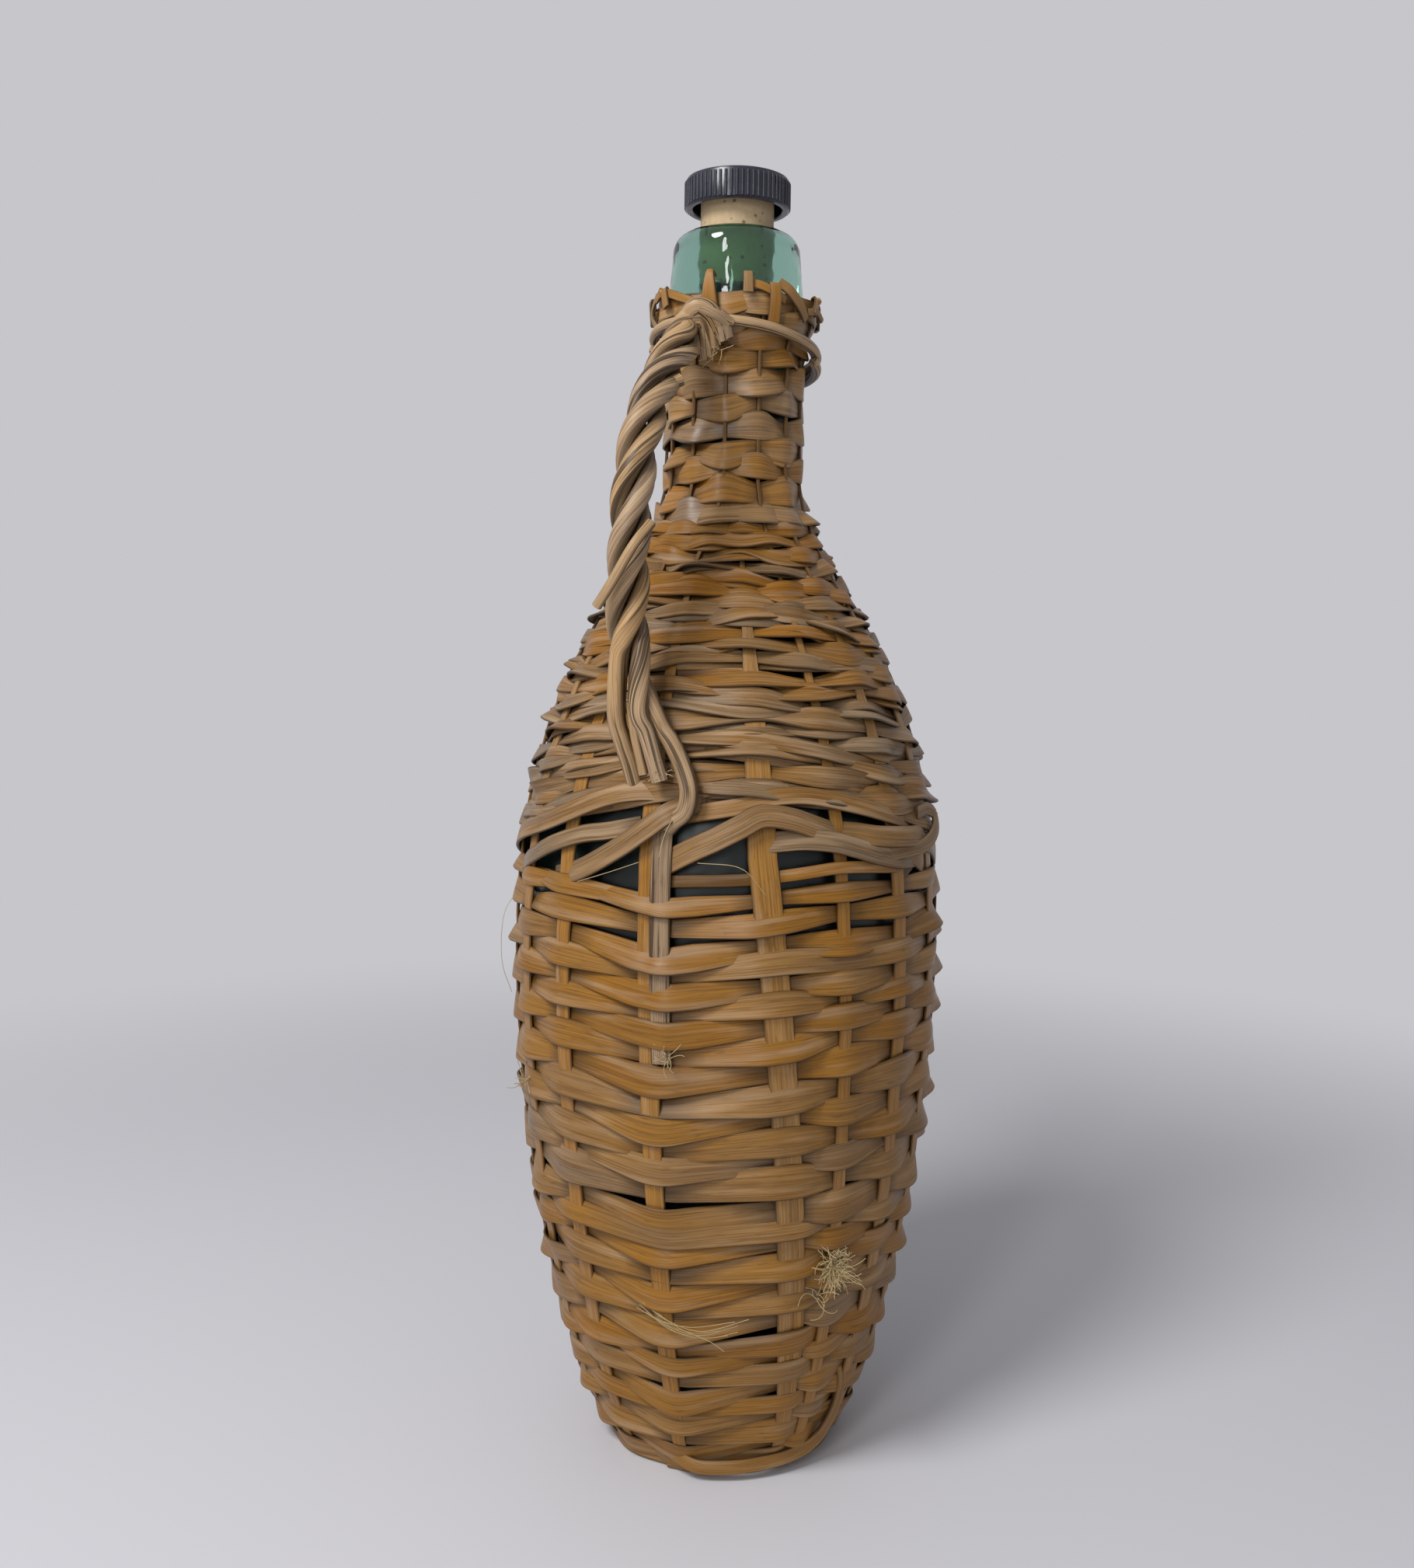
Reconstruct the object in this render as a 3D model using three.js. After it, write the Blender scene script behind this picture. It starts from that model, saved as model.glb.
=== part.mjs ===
// A round glass bottle in a woven cane jacket, with a twisted cane handle
// and a cork stopper under a ribbed head.
// Millimetres and degrees, +Z up. The origin is the centre of the base,
// on the surface that the bottle stands on.
// Angles round the bottle run from the handle side, -Y, towards +X.
import * as THREE from "three";

// Clearances
const SEAT_GAP = 0.3; // between pieces that touch on the real bottle
const GLASS_GAP = 0.6; // between the glass and the canes that cross it as straight chords
const STAKE_GAP = 0.45; // between a stake and the cane that passes behind it
const CROSSING_GAP = 0.9; // between a stake and the cane that bends over it
const STOPPER_GAP = 0.15; // radial, between the cork and the bore

// Glass bottle
const FOOT_RADIUS = 28;
const HEEL_REACH = 14; // pull of the belly curve at the foot, outwards and upwards
const HEEL_RISE = 20;
const BELLY_RADIUS = 53.4;
const BELLY_HEIGHT = 132; // height of the widest place above the table
const BELLY_PULL = 47;
const SHOULDER_PULL = 80;
const SHOULDER_RISE = 123; // from the widest place up to the foot of the neck
const NECK_PULL = 31;
const NECK_RADIUS = 15.4;
const NECK_LENGTH = 29;
const BAND_FLARE_RISE = 16; // from the neck out to the thick band round the mouth
const BAND_RADIUS = 18.4;
const BAND_LENGTH = 20;
const BAND_TAPER = 1.1; // how much the band narrows from its foot to the lip
const LIP_ROUND = 5.4;
const LIP_FLAT = 1; // least flat ring between the bore and the lip's round
const WALL = 3.4;
const FLOOR_THICKNESS = 4;
const BORE_RADIUS = 10.1;
const BORE_LENGTH = 30;

// Stopper
const CORK_LENGTH = 28;
const CORK_PROUD = 6.6; // bare cork between the lip and the head
const HEAD_RADIUS = 14.5;
const HEAD_HEIGHT = 8.5;
const HEAD_WALL = 1.9;
const HEAD_TOP = 3;
const HEAD_ROUND = 1;
const RIB_COUNT = 44;
const RIB_DEPTH = 0.6;

// Canes of the jacket
const BASE_THICKNESS = 3.2;
const CANE_THICKNESS = 0.8;
const STAKE_THICKNESS = 1;
const STAKE_COUNT = 17; // odd, so that one cane weaves over and under by turns as it climbs
const STAKE_START = 7.7;
const STAKE_WIDTH = 5;
const FOOT_STAKE_WIDTH = 3.4;
const NECK_STAKE_COUNT = 13; // odd for the same reason; the rest stop at the top of the shoulder
const NECK_STAKE_START = 17.4;
const NECK_STAKE_WIDTH = 2.8;
const TAIL_WIDTH = 4; // end of a handle strand, pushed down beside the first stake
const TAIL_LENGTH = 62;
const TAIL_SPREAD = 9.8; // degrees that the tail pushes the next stake along
const SPREAD_STAKES = 4; // stakes over which that push dies away
const LOWER_CANES = 9; // canes that follow on from each other up the lower half of the jacket
const UPPER_CANES = 6;
const NECK_CANES = 4;
const CANE_END_GAP = 1.2; // between the ends of two canes that meet behind one stake
const FIRST_ROW_RISE = 3.4; // from the heel to the middle of the first row
const LOWER_WIDTH = 4.4;
const LOWER_ROW_GAP = 0.5;
const WAIST_HEIGHT = 158; // of the pair of canes that binds the two halves of the jacket
const WAIST_WIDTH = 3.8;
const WAIST_SWAY = 4.1; // how far each of the pair rises over a stake, and drops behind the next
const WAIST_CROSSED = 0.6; // share of the way to the next stake by which the pair has crossed
const WAIST_ROW_GAP = 0.5;
const FRONT_LIFT = 7.5; // how far the upper half is drawn up at the front, over an open gap
const LIFT_ANGLE = 23;
const UPPER_WIDTH = 3.6;
const UPPER_ROW_GAP = 0.7;
const NECK_ROW_WIDTH = 4.1;
const NECK_ROW_GAP = 0.5;
const COLLAR_COVER = 5; // how far the jacket reaches up the band

// Handle and the loop that ties it to the neck
const STRAND_COUNT = 3;
const STRAND_RADIUS = 2.15;
const STRAND_SPACING = 2.95; // from the middle of the handle to the middle of a strand
const STRAND_LAY = 40; // length of one full twist
const LOOP_RADIUS = 2.1;
const LOOP_DROP = 6.5; // from the foot of the band down to the middle of the loop
const LOOP_TILT = 4.5; // half the height that the loop climbs towards the handle
const LOOP_HIGH_ANGLE = -10;
const HANDLE_TOP_DROP = 7; // from the foot of the band down to the top of the handle
const HANDLE_STAND_OFF = 30; // widest gap between the handle and the jacket
// Route of the handle: share of the way down to the waist, share of the widest gap, and angle
const HANDLE_ROUTE = [
  [0, 0.01, -2],
  [0.07, 0.25, 0],
  [0.17, 0.63, 0],
  [0.29, 0.92, 0],
  [0.42, 1, 0],
  [0.57, 0.77, 0],
  [0.72, 0.38, 0],
  [0.84, 0.13, 5],
  [0.93, 0.02, 10],
  [1, 0.01, 13.5],
];

// How finely the curves are faceted
const LATHE_SIDES = 32;
const LIP_STEPS = 4;
const FACET_SAG = 0.16; // how far a facet of an outline may stand off its curve
const INSIDE_SAG = 0.64; // the same for the inside of the glass
const FACET_STEP = 0.5; // shortest facet of an outline
const HEIGHT_TOLERANCE = 0.01; // how closely a height is found on the outline
const STRAND_SIDES = 6;
const STRAND_STEPS = 40;
const LOOP_SIDES = 8;
const LOOP_STEPS = 26;

// Heights and layers that follow from the sizes above
const footHeight = BASE_THICKNESS + SEAT_GAP;
const neckFootHeight = BELLY_HEIGHT + SHOULDER_RISE;
const neckTopHeight = neckFootHeight + NECK_LENGTH;
const bandFootHeight = neckTopHeight + BAND_FLARE_RISE;
const lipHeight = bandFootHeight + BAND_LENGTH;
const lipRadius = BAND_RADIUS - BAND_TAPER;
const lipRound = Math.min(LIP_ROUND, lipRadius - BORE_RADIUS - LIP_FLAT);
const underLayer = GLASS_GAP + CANE_THICKNESS / 2;
const stakeLayer = GLASS_GAP + CANE_THICKNESS + STAKE_GAP + STAKE_THICKNESS / 2;
const overLayer = stakeLayer + STAKE_THICKNESS / 2 + CROSSING_GAP + CANE_THICKNESS / 2;
const jacketThickness = overLayer + CANE_THICKNESS / 2;
const handleRadius = STRAND_SPACING + STRAND_RADIUS;

const { degToRad, lerp, smoothstep } = THREE.MathUtils;

// Outside of the glass, from the heel up to the lip, as radius and height
const outline = new THREE.Path();
outline.moveTo(FOOT_RADIUS, footHeight);
outline.bezierCurveTo(
  FOOT_RADIUS + HEEL_REACH, footHeight + HEEL_RISE,
  BELLY_RADIUS, BELLY_HEIGHT - BELLY_PULL,
  BELLY_RADIUS, BELLY_HEIGHT,
);
outline.bezierCurveTo(
  BELLY_RADIUS, BELLY_HEIGHT + SHOULDER_PULL,
  NECK_RADIUS, neckFootHeight - NECK_PULL,
  NECK_RADIUS, neckFootHeight,
);
outline.lineTo(NECK_RADIUS, neckTopHeight);
outline.bezierCurveTo(
  NECK_RADIUS, neckTopHeight + BAND_FLARE_RISE / 2,
  BAND_RADIUS, bandFootHeight - BAND_FLARE_RISE / 2,
  BAND_RADIUS, bandFootHeight,
);
outline.lineTo(lipRadius, lipHeight - lipRound);
const outlineLength = outline.getLength();

// Point of the outline at a length along it, as radius and height,
// moved out by offset and on by shift
function onOutline(along, offset = 0, shift = 0) {
  const share = THREE.MathUtils.clamp(along / outlineLength, 0, 1);
  const point = outline.getPoint(share);
  const tangent = outline.getTangent(share);
  const normal = new THREE.Vector2(tangent.y, -tangent.x);
  return point.addScaledVector(normal, offset).addScaledVector(tangent, shift);
}

// Length along the outline at which it reaches a height
function alongAt(height) {
  let low = 0;
  let high = outlineLength;
  while (high - low > HEIGHT_TOLERANCE) {
    const middle = (low + high) / 2;
    if (onOutline(middle).y < height) low = middle;
    else high = middle;
  }
  return (low + high) / 2;
}

// Lengths along the outline between two places, close together where it bends:
// an arc stands off its chord by an eighth of its length times its turn
function facetStops(from, to, sag) {
  const stops = [from];
  let start = from;
  let turn = 0;
  let heading = outline.getTangent(from / outlineLength).angle();
  for (let along = from + FACET_STEP; along < to - FACET_STEP; along += FACET_STEP) {
    const next = outline.getTangent(along / outlineLength).angle();
    turn += Math.abs(next - heading);
    heading = next;
    if ((turn * (along - start)) / 8 > sag) {
      stops.push(along);
      start = along;
      turn = 0;
    }
  }
  stops.push(to);
  return stops;
}

// Point at a radius and height round the bottle, moved sideways along the ring
function roundBottle(radius, height, degrees, sideways = 0) {
  const angle = degToRad(degrees);
  return new THREE.Vector3(
    radius * Math.sin(angle) + sideways * Math.cos(angle),
    sideways * Math.sin(angle) - radius * Math.cos(angle),
    height,
  );
}

// Closed surface through rings of the same number of points, with its faces turned outwards
function loft(rings) {
  const size = rings[0].length;
  const points = rings.flat();
  const faces = [];
  for (let ring = 0; ring + 1 < rings.length; ring++) {
    for (let i = 0; i < size; i++) {
      const a = ring * size + i;
      const b = ring * size + ((i + 1) % size);
      faces.push([a, b, b + size], [a, b + size, a + size]);
    }
  }
  const last = points.length - size;
  for (let i = 1; i + 1 < size; i++) {
    faces.push([0, i + 1, i], [last, last + i, last + i + 1]);
  }
  const volume = faces.reduce(
    (sum, [a, b, c]) => sum + points[a].dot(points[b].clone().cross(points[c])),
    0,
  );
  if (volume < 0) faces.forEach((face) => face.reverse());
  const geometry = new THREE.BufferGeometry().setFromPoints(points);
  geometry.setIndex(faces.flat());
  geometry.computeVertexNormals();
  return geometry;
}

// Materials, coloured as the bottle is
const finishes = {
  glass: new THREE.MeshStandardMaterial({
    color: 0x3f8f7c, roughness: 0.05, metalness: 0, transparent: true, opacity: 0.5,
  }),
  cork: new THREE.MeshStandardMaterial({ color: 0xc79a66, roughness: 0.85, metalness: 0 }),
  head: new THREE.MeshStandardMaterial({ color: 0x23242c, roughness: 0.35, metalness: 0 }),
  stake: new THREE.MeshStandardMaterial({ color: 0xb98438, roughness: 0.55, metalness: 0 }),
  weave: new THREE.MeshStandardMaterial({ color: 0xb5854a, roughness: 0.55, metalness: 0 }),
  handle: new THREE.MeshStandardMaterial({ color: 0xa98a5f, roughness: 0.6, metalness: 0 }),
};

const bottle = new THREE.Group();
const stopper = new THREE.Group();
bottle.add(stopper);

function addPiece(name, geometry, finish, group = bottle) {
  const mesh = new THREE.Mesh(geometry, finishes[finish]);
  mesh.name = name;
  group.add(mesh);
  return mesh;
}

// LatheGeometry turns about Y, so its result is stood up along Z
function turned(profile) {
  return new THREE.LatheGeometry(profile, LATHE_SIDES).rotateX(Math.PI / 2);
}

// Glass: up the outside, round the lip, down the bore and the inner wall to the floor
function glassBottle() {
  const neckTop = alongAt(neckTopHeight);
  const outside = facetStops(0, outlineLength, FACET_SAG).map((along) => onOutline(along));
  const lip = new THREE.Path()
    .absarc(lipRadius - lipRound, lipHeight - lipRound, lipRound, 0, Math.PI / 2)
    .getPoints(LIP_STEPS)
    .slice(1);
  const floorHeight = footHeight + FLOOR_THICKNESS;
  const boreFoot = lipHeight - BORE_LENGTH;
  const inside = facetStops(0, neckTop, INSIDE_SAG)
    .map((along) => onOutline(along, -WALL))
    .filter((point) => point.y > floorHeight && point.y < boreFoot - WALL)
    .reverse();
  const floorRadius = onOutline(0, -WALL).x;
  return turned([
    new THREE.Vector2(0, footHeight),
    ...outside,
    ...lip,
    new THREE.Vector2(BORE_RADIUS, lipHeight),
    new THREE.Vector2(BORE_RADIUS, boreFoot),
    ...inside,
    new THREE.Vector2(floorRadius, floorHeight),
    new THREE.Vector2(0, floorHeight),
  ]);
}

// Stopper, modelled from the lip upwards and then set on it
function corkShank() {
  const radius = BORE_RADIUS - STOPPER_GAP;
  const top = CORK_PROUD + HEAD_HEIGHT - HEAD_TOP - SEAT_GAP;
  const foot = top - CORK_LENGTH;
  return turned([
    new THREE.Vector2(0, foot),
    new THREE.Vector2(radius, foot),
    new THREE.Vector2(radius, top),
    new THREE.Vector2(0, top),
  ]);
}

function stopperHead() {
  const ring = (radius, height, depth = 0) =>
    Array.from({ length: 2 * RIB_COUNT }, (_, i) =>
      roundBottle(radius - (i % 2) * depth, height, (i * 180) / RIB_COUNT));
  const foot = CORK_PROUD;
  const top = foot + HEAD_HEIGHT;
  const recess = HEAD_RADIUS - RIB_DEPTH - HEAD_WALL;
  return loft([
    ring(recess, top - HEAD_TOP),
    ring(recess, foot),
    ring(HEAD_RADIUS, foot, RIB_DEPTH),
    ring(HEAD_RADIUS, top - HEAD_ROUND, RIB_DEPTH),
    ring(HEAD_RADIUS - RIB_DEPTH - HEAD_ROUND, top),
  ]);
}

// Base mat that the stakes are set into
function baseMat() {
  const edge = onOutline(0, stakeLayer - STAKE_THICKNESS / 2);
  const radius = Math.min(edge.x - SEAT_GAP, FOOT_RADIUS + GLASS_GAP);
  return turned([
    new THREE.Vector2(0, 0),
    new THREE.Vector2(radius, 0),
    new THREE.Vector2(radius, BASE_THICKNESS),
    new THREE.Vector2(0, BASE_THICKNESS),
  ]);
}

// Places along the outline where the parts of the jacket begin and end
const jacketEnd = alongAt(bandFootHeight + COLLAR_COVER);
const waist = alongAt(WAIST_HEIGHT);
const waistReach = WAIST_SWAY + WAIST_WIDTH / 2 + WAIST_ROW_GAP;
const shoulderEnd = alongAt(neckFootHeight - NECK_PULL / 2);
const neckStart = shoulderEnd + NECK_ROW_GAP;

// Stakes: those that go on up the neck close ranks there
function neckPlace(stake) {
  return Math.floor((stake * NECK_STAKE_COUNT) / STAKE_COUNT);
}

function reachesNeck(stake) {
  return stake === 0 || neckPlace(stake) !== neckPlace(stake - 1);
}

// Degrees that the tail pushes a stake along
function tailPush(stake) {
  if (stake < 1 || stake > SPREAD_STAKES) return 0;
  return TAIL_SPREAD * (1 - (stake - 1) / SPREAD_STAKES);
}

function stakeAngle(stake, along) {
  const body = STAKE_START + (stake * 360) / STAKE_COUNT + tailPush(stake);
  if (!reachesNeck(stake)) return body;
  const neck = NECK_STAKE_START + (neckPlace(stake) * 360) / NECK_STAKE_COUNT;
  const reach = NECK_PULL / 2;
  return lerp(body, neck, smoothstep(along, shoulderEnd - reach, shoulderEnd + reach));
}

// Stakes are widest round the belly
function stakeWidth(along) {
  const foot = lerp(FOOT_STAKE_WIDTH, STAKE_WIDTH, smoothstep(along, 0, BELLY_PULL));
  return lerp(foot, NECK_STAKE_WIDTH, smoothstep(along, waist, shoulderEnd));
}

// Upright cane, flat on the inside and crowned on the outside
function upright(from, to, angleAt, widthAt) {
  const rings = facetStops(from, to, FACET_SAG).map((along) => {
    const inner = onOutline(along, stakeLayer - STAKE_THICKNESS / 2);
    const outer = onOutline(along, stakeLayer + STAKE_THICKNESS / 2);
    const half = widthAt(along) / 2;
    const degrees = angleAt(along);
    return [
      roundBottle(inner.x, inner.y, degrees, -half),
      roundBottle(inner.x, inner.y, degrees, half),
      roundBottle(outer.x, outer.y, degrees, half / 2),
      roundBottle(outer.x, outer.y, degrees, -half / 2),
    ];
  });
  return loft(rings);
}

// Angle of the tail beside the first stake
function tailAngle(along) {
  const sideways = (stakeWidth(along) + TAIL_WIDTH) / 2 + SEAT_GAP;
  const radius = onOutline(along, stakeLayer).x;
  return stakeAngle(0, along) + THREE.MathUtils.radToDeg(sideways / radius);
}

// How far the upper half is drawn up at an angle
function frontLift(degrees) {
  return FRONT_LIFT * ((1 + Math.cos(degToRad(degrees - LIFT_ANGLE))) / 2) ** 2;
}

// Section of a flat cane that lies along the ring, at a layer of the jacket
function caneSection(along, layer, degrees, width, sideways = 0) {
  const half = width / 2;
  const inner = layer - CANE_THICKNESS / 2;
  const outer = layer + CANE_THICKNESS / 2;
  const corners = [[inner, -half], [inner, half], [outer, half], [outer, -half]];
  return corners.map(([offset, shift]) => {
    const point = onOutline(along, offset, shift);
    return roundBottle(point.x, point.y, degrees, sideways);
  });
}

// One cane of a woven zone, over and under the stakes from one crossing to another
function weaver(zone, first, last) {
  const rings = [];
  for (let crossing = first; crossing <= last; crossing++) {
    const stake = zone.stakes[crossing % zone.stakes.length];
    const turn = Math.floor(crossing / zone.stakes.length);
    const layer = crossing % 2 ? overLayer : underLayer;
    let angles = [stakeAngle(stake, zone.alongAt(turn, stakeAngle(stake, zone.from)))];
    if (zone.besideTail && stake === 0) angles.push(tailAngle(zone.alongAt(turn, angles[0])));
    let sideways = 0;
    if (crossing === first) {
      sideways = CANE_END_GAP / 2;
      angles = angles.slice(-1);
    } else if (crossing === last) {
      sideways = -CANE_END_GAP / 2;
      angles = angles.slice(0, 1);
    }
    for (const degrees of angles) {
      rings.push(caneSection(zone.alongAt(turn, degrees), layer, degrees, zone.width, sideways));
    }
  }
  return loft(rings);
}

// Woven zone: canes that follow on from each other, each ending behind a stake
function addZone(name, zone) {
  const rows = Math.floor((zone.to - zone.from) / zone.pitch);
  const crossings = 2 * Math.floor((rows * zone.stakes.length) / 2);
  const endOf = (canes) => 2 * Math.round((crossings * canes) / zone.canes / 2);
  const height = zone.to - zone.from;
  const spiral = {
    ...zone,
    alongAt: (turn, degrees) => {
      const up = (turn + degrees / 360) / rows;
      const lift = zone.lift ? frontLift(degrees) * (1 - up) : 0;
      return zone.from + height * up + lift;
    },
  };
  for (let cane = 0; cane < zone.canes; cane++) {
    const number = String(cane + 1).padStart(2, "0");
    addPiece(`${name}_${number}`, weaver(spiral, endOf(cane), endOf(cane + 1)), "weave");
  }
}

// One of a pair of canes twisted round each other at the waist,
// so that one is over each stake while the other is behind it
function waistCane(starts) {
  const rings = [];
  const add = (degrees, layer, shift, sideways = 0) => {
    const along = waist + frontLift(degrees) + shift;
    rings.push(caneSection(along, layer, degrees, WAIST_WIDTH, sideways));
  };
  const stakeAt = (crossing) =>
    stakeAngle(crossing % STAKE_COUNT, waist) + 360 * Math.floor(crossing / STAKE_COUNT);
  for (let crossing = 0; crossing <= STAKE_COUNT; crossing++) {
    const over = (crossing + starts) % 2 === 1;
    const layer = over ? overLayer : underLayer;
    const shift = over ? WAIST_SWAY : -WAIST_SWAY;
    const degrees = crossing === 0 ? tailAngle(waist) : stakeAt(crossing);
    if (crossing === STAKE_COUNT) {
      add(degrees, layer, shift, -CANE_END_GAP / 2);
      break;
    }
    add(degrees, layer, shift, crossing === 0 ? CANE_END_GAP / 2 : 0);
    const crossed = lerp(degrees, stakeAt(crossing + 1), WAIST_CROSSED);
    add(crossed, (underLayer + stakeLayer) / 2, -shift);
  }
  return loft(rings);
}

// Round cane along a curve
function roundCane(points, radius, sides, steps) {
  const section = new THREE.Shape(
    Array.from({ length: sides }, (_, i) => {
      const angle = (2 * Math.PI * i) / sides;
      return new THREE.Vector2(radius * Math.cos(angle), radius * Math.sin(angle));
    }),
  );
  const extrudePath = new THREE.CatmullRomCurve3(points);
  return new THREE.ExtrudeGeometry(section, { steps, extrudePath, bevelEnabled: false });
}

// Radius of the jacket's outside at a height
function jacketRadius(height) {
  return onOutline(alongAt(height), jacketThickness).x;
}

// Handle strands, twisted round the handle's own line
function handleStrands() {
  const top = bandFootHeight - HANDLE_TOP_DROP;
  const bottom = onOutline(waist + FRONT_LIFT + WAIST_SWAY).y;
  const route = new THREE.CatmullRomCurve3(
    HANDLE_ROUTE.map(([down, out, degrees]) => {
      const height = lerp(top, bottom, down);
      const radius = jacketRadius(height) + SEAT_GAP + handleRadius + out * HANDLE_STAND_OFF;
      return roundBottle(radius, height, degrees);
    }),
  );
  const frames = route.computeFrenetFrames(STRAND_STEPS);
  const length = route.getLength();
  return Array.from({ length: STRAND_COUNT }, (_, strand) =>
    Array.from({ length: STRAND_STEPS + 1 }, (_, step) => {
      const share = step / STRAND_STEPS;
      const angle = 2 * Math.PI * ((share * length) / STRAND_LAY + strand / STRAND_COUNT);
      return route
        .getPointAt(share)
        .addScaledVector(frames.normals[step], STRAND_SPACING * Math.cos(angle))
        .addScaledVector(frames.binormals[step], STRAND_SPACING * Math.sin(angle));
    }));
}

// Loop round the neck, open where the handle starts
function neckLoop() {
  const [, , handleAngle] = HANDLE_ROUTE[0];
  const reach = handleRadius + LOOP_RADIUS + SEAT_GAP;
  const middle = bandFootHeight - LOOP_DROP;
  const open = THREE.MathUtils.radToDeg(Math.asin(reach / (jacketRadius(middle) + LOOP_RADIUS)));
  const points = Array.from({ length: LOOP_STEPS + 1 }, (_, i) => {
    const degrees = lerp(handleAngle + open, handleAngle + 360 - open, i / LOOP_STEPS);
    const height = middle + LOOP_TILT * Math.cos(degToRad(degrees - LOOP_HIGH_ANGLE));
    const radius = jacketRadius(height + LOOP_RADIUS) + SEAT_GAP + LOOP_RADIUS;
    return roundBottle(radius, height, degrees);
  });
  return roundCane(points, LOOP_RADIUS, LOOP_SIDES, LOOP_STEPS);
}

// Assembly
addPiece("glass_bottle", glassBottle(), "glass");
stopper.position.z = lipHeight;
addPiece("cork_shank", corkShank(), "cork", stopper);
addPiece("stopper_head", stopperHead(), "head", stopper);
addPiece("base_mat", baseMat(), "weave");

const allStakes = Array.from({ length: STAKE_COUNT }, (_, i) => i);
for (const stake of allStakes) {
  const end = reachesNeck(stake) ? jacketEnd : shoulderEnd;
  const number = String(stake + 1).padStart(2, "0");
  const angleAt = (along) => stakeAngle(stake, along);
  addPiece(`stake_${number}`, upright(0, end, angleAt, stakeWidth), "stake");
}
const tailTop = waist + FRONT_LIFT + waistReach;
const tailFoot = tailTop - TAIL_LENGTH;
addPiece("handle_tail", upright(tailFoot, tailTop, tailAngle, () => TAIL_WIDTH), "handle");

addZone("lower_weaver", {
  canes: LOWER_CANES,
  stakes: allStakes,
  from: FIRST_ROW_RISE,
  to: waist - waistReach - LOWER_WIDTH / 2,
  pitch: LOWER_WIDTH + LOWER_ROW_GAP,
  width: LOWER_WIDTH,
  besideTail: true,
});
addPiece("waist_cane_a", waistCane(0), "weave");
addPiece("waist_cane_b", waistCane(1), "weave");
addZone("upper_weaver", {
  canes: UPPER_CANES,
  stakes: allStakes,
  from: waist + waistReach + UPPER_WIDTH / 2,
  to: shoulderEnd - UPPER_WIDTH / 2,
  pitch: UPPER_WIDTH + UPPER_ROW_GAP,
  width: UPPER_WIDTH,
  besideTail: true,
  lift: true,
});
addZone("neck_weaver", {
  canes: NECK_CANES,
  stakes: allStakes.filter(reachesNeck),
  from: neckStart + NECK_ROW_WIDTH / 2,
  to: jacketEnd - NECK_ROW_WIDTH,
  pitch: NECK_ROW_WIDTH + NECK_ROW_GAP,
  width: NECK_ROW_WIDTH,
});

handleStrands().forEach((points, strand) => {
  const letter = "abc"[strand];
  const cane = roundCane(points, STRAND_RADIUS, STRAND_SIDES, STRAND_STEPS);
  addPiece(`handle_strand_${letter}`, cane, "handle");
});
addPiece("neck_loop", neckLoop(), "handle");

export default bottle;
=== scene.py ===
"""Looks of a round glass bottle in a jacket of woven split cane, with a twisted handle and a cork.

Sizes are in millimetres and degrees, and become metres where a mesh is made. Angles round the
bottle run from the handle side, -Y, towards +X. A length along the outline starts at the heel.
"""

import logging
import math
from dataclasses import dataclass, field
from enum import Enum

import bpy
import numpy as np
from mathutils import Matrix, Vector


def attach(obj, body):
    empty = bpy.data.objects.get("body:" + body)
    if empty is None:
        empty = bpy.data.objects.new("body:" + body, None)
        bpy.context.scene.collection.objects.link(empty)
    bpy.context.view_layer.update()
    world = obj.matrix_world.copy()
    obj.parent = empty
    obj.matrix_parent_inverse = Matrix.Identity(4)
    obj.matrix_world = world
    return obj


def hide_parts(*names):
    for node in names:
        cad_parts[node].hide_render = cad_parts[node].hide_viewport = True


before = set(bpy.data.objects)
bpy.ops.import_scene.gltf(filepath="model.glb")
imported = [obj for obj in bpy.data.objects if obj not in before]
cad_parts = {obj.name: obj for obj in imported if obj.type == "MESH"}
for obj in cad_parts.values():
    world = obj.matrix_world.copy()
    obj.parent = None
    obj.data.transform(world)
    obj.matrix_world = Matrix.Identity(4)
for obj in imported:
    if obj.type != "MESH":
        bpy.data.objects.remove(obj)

LOG = logging.getLogger("cane_bottle")
MM = 0.001  # metres in a millimetre
STOCK = 900.0  # length of cane that the pieces are cut from
SPAN_STEPS = 24  # points that are drawn between two knots of a curve
LOOSE_STEP = 0.8  # distance between the points of a loose end
BEVEL_SHARE = 0.3  # how far the middle of a bevelled edge lies in from its corner
DOWN = (0.0, 0.0, -1.0)

MATH = "ShaderNodeMath"
VECTOR_MATH = "ShaderNodeVectorMath"
MAP_RANGE = "ShaderNodeMapRange"
MIX = "ShaderNodeMix"
NOISE = "ShaderNodeTexNoise"
SPLIT = "ShaderNodeSeparateXYZ"
JOIN = "ShaderNodeCombineXYZ"
BUMP = "ShaderNodeBump"
COORDINATES = "ShaderNodeTexCoord"
PRINCIPLED = "ShaderNodeBsdfPrincipled"
OUTPUT = "ShaderNodeOutputMaterial"

Object = bpy.types.Object
Material = bpy.types.Material
Tree = bpy.types.NodeTree
Node = bpy.types.Node
Socket = bpy.types.NodeSocket
Numbers = np.ndarray | float
Pair = tuple[float, float]
Triple = tuple[float, float, float]
Spots = tuple[Triple, ...]  # each an angle, a height, and a radius or a distance from the glass
Strips = tuple[tuple[float, float, Spots], ...]  # each a width, a tone, and the spots along it


class Body(Enum):
    """Bodies that the pieces ride on."""

    BOTTLE = "bottle"
    STOPPER = "stopper"


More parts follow.
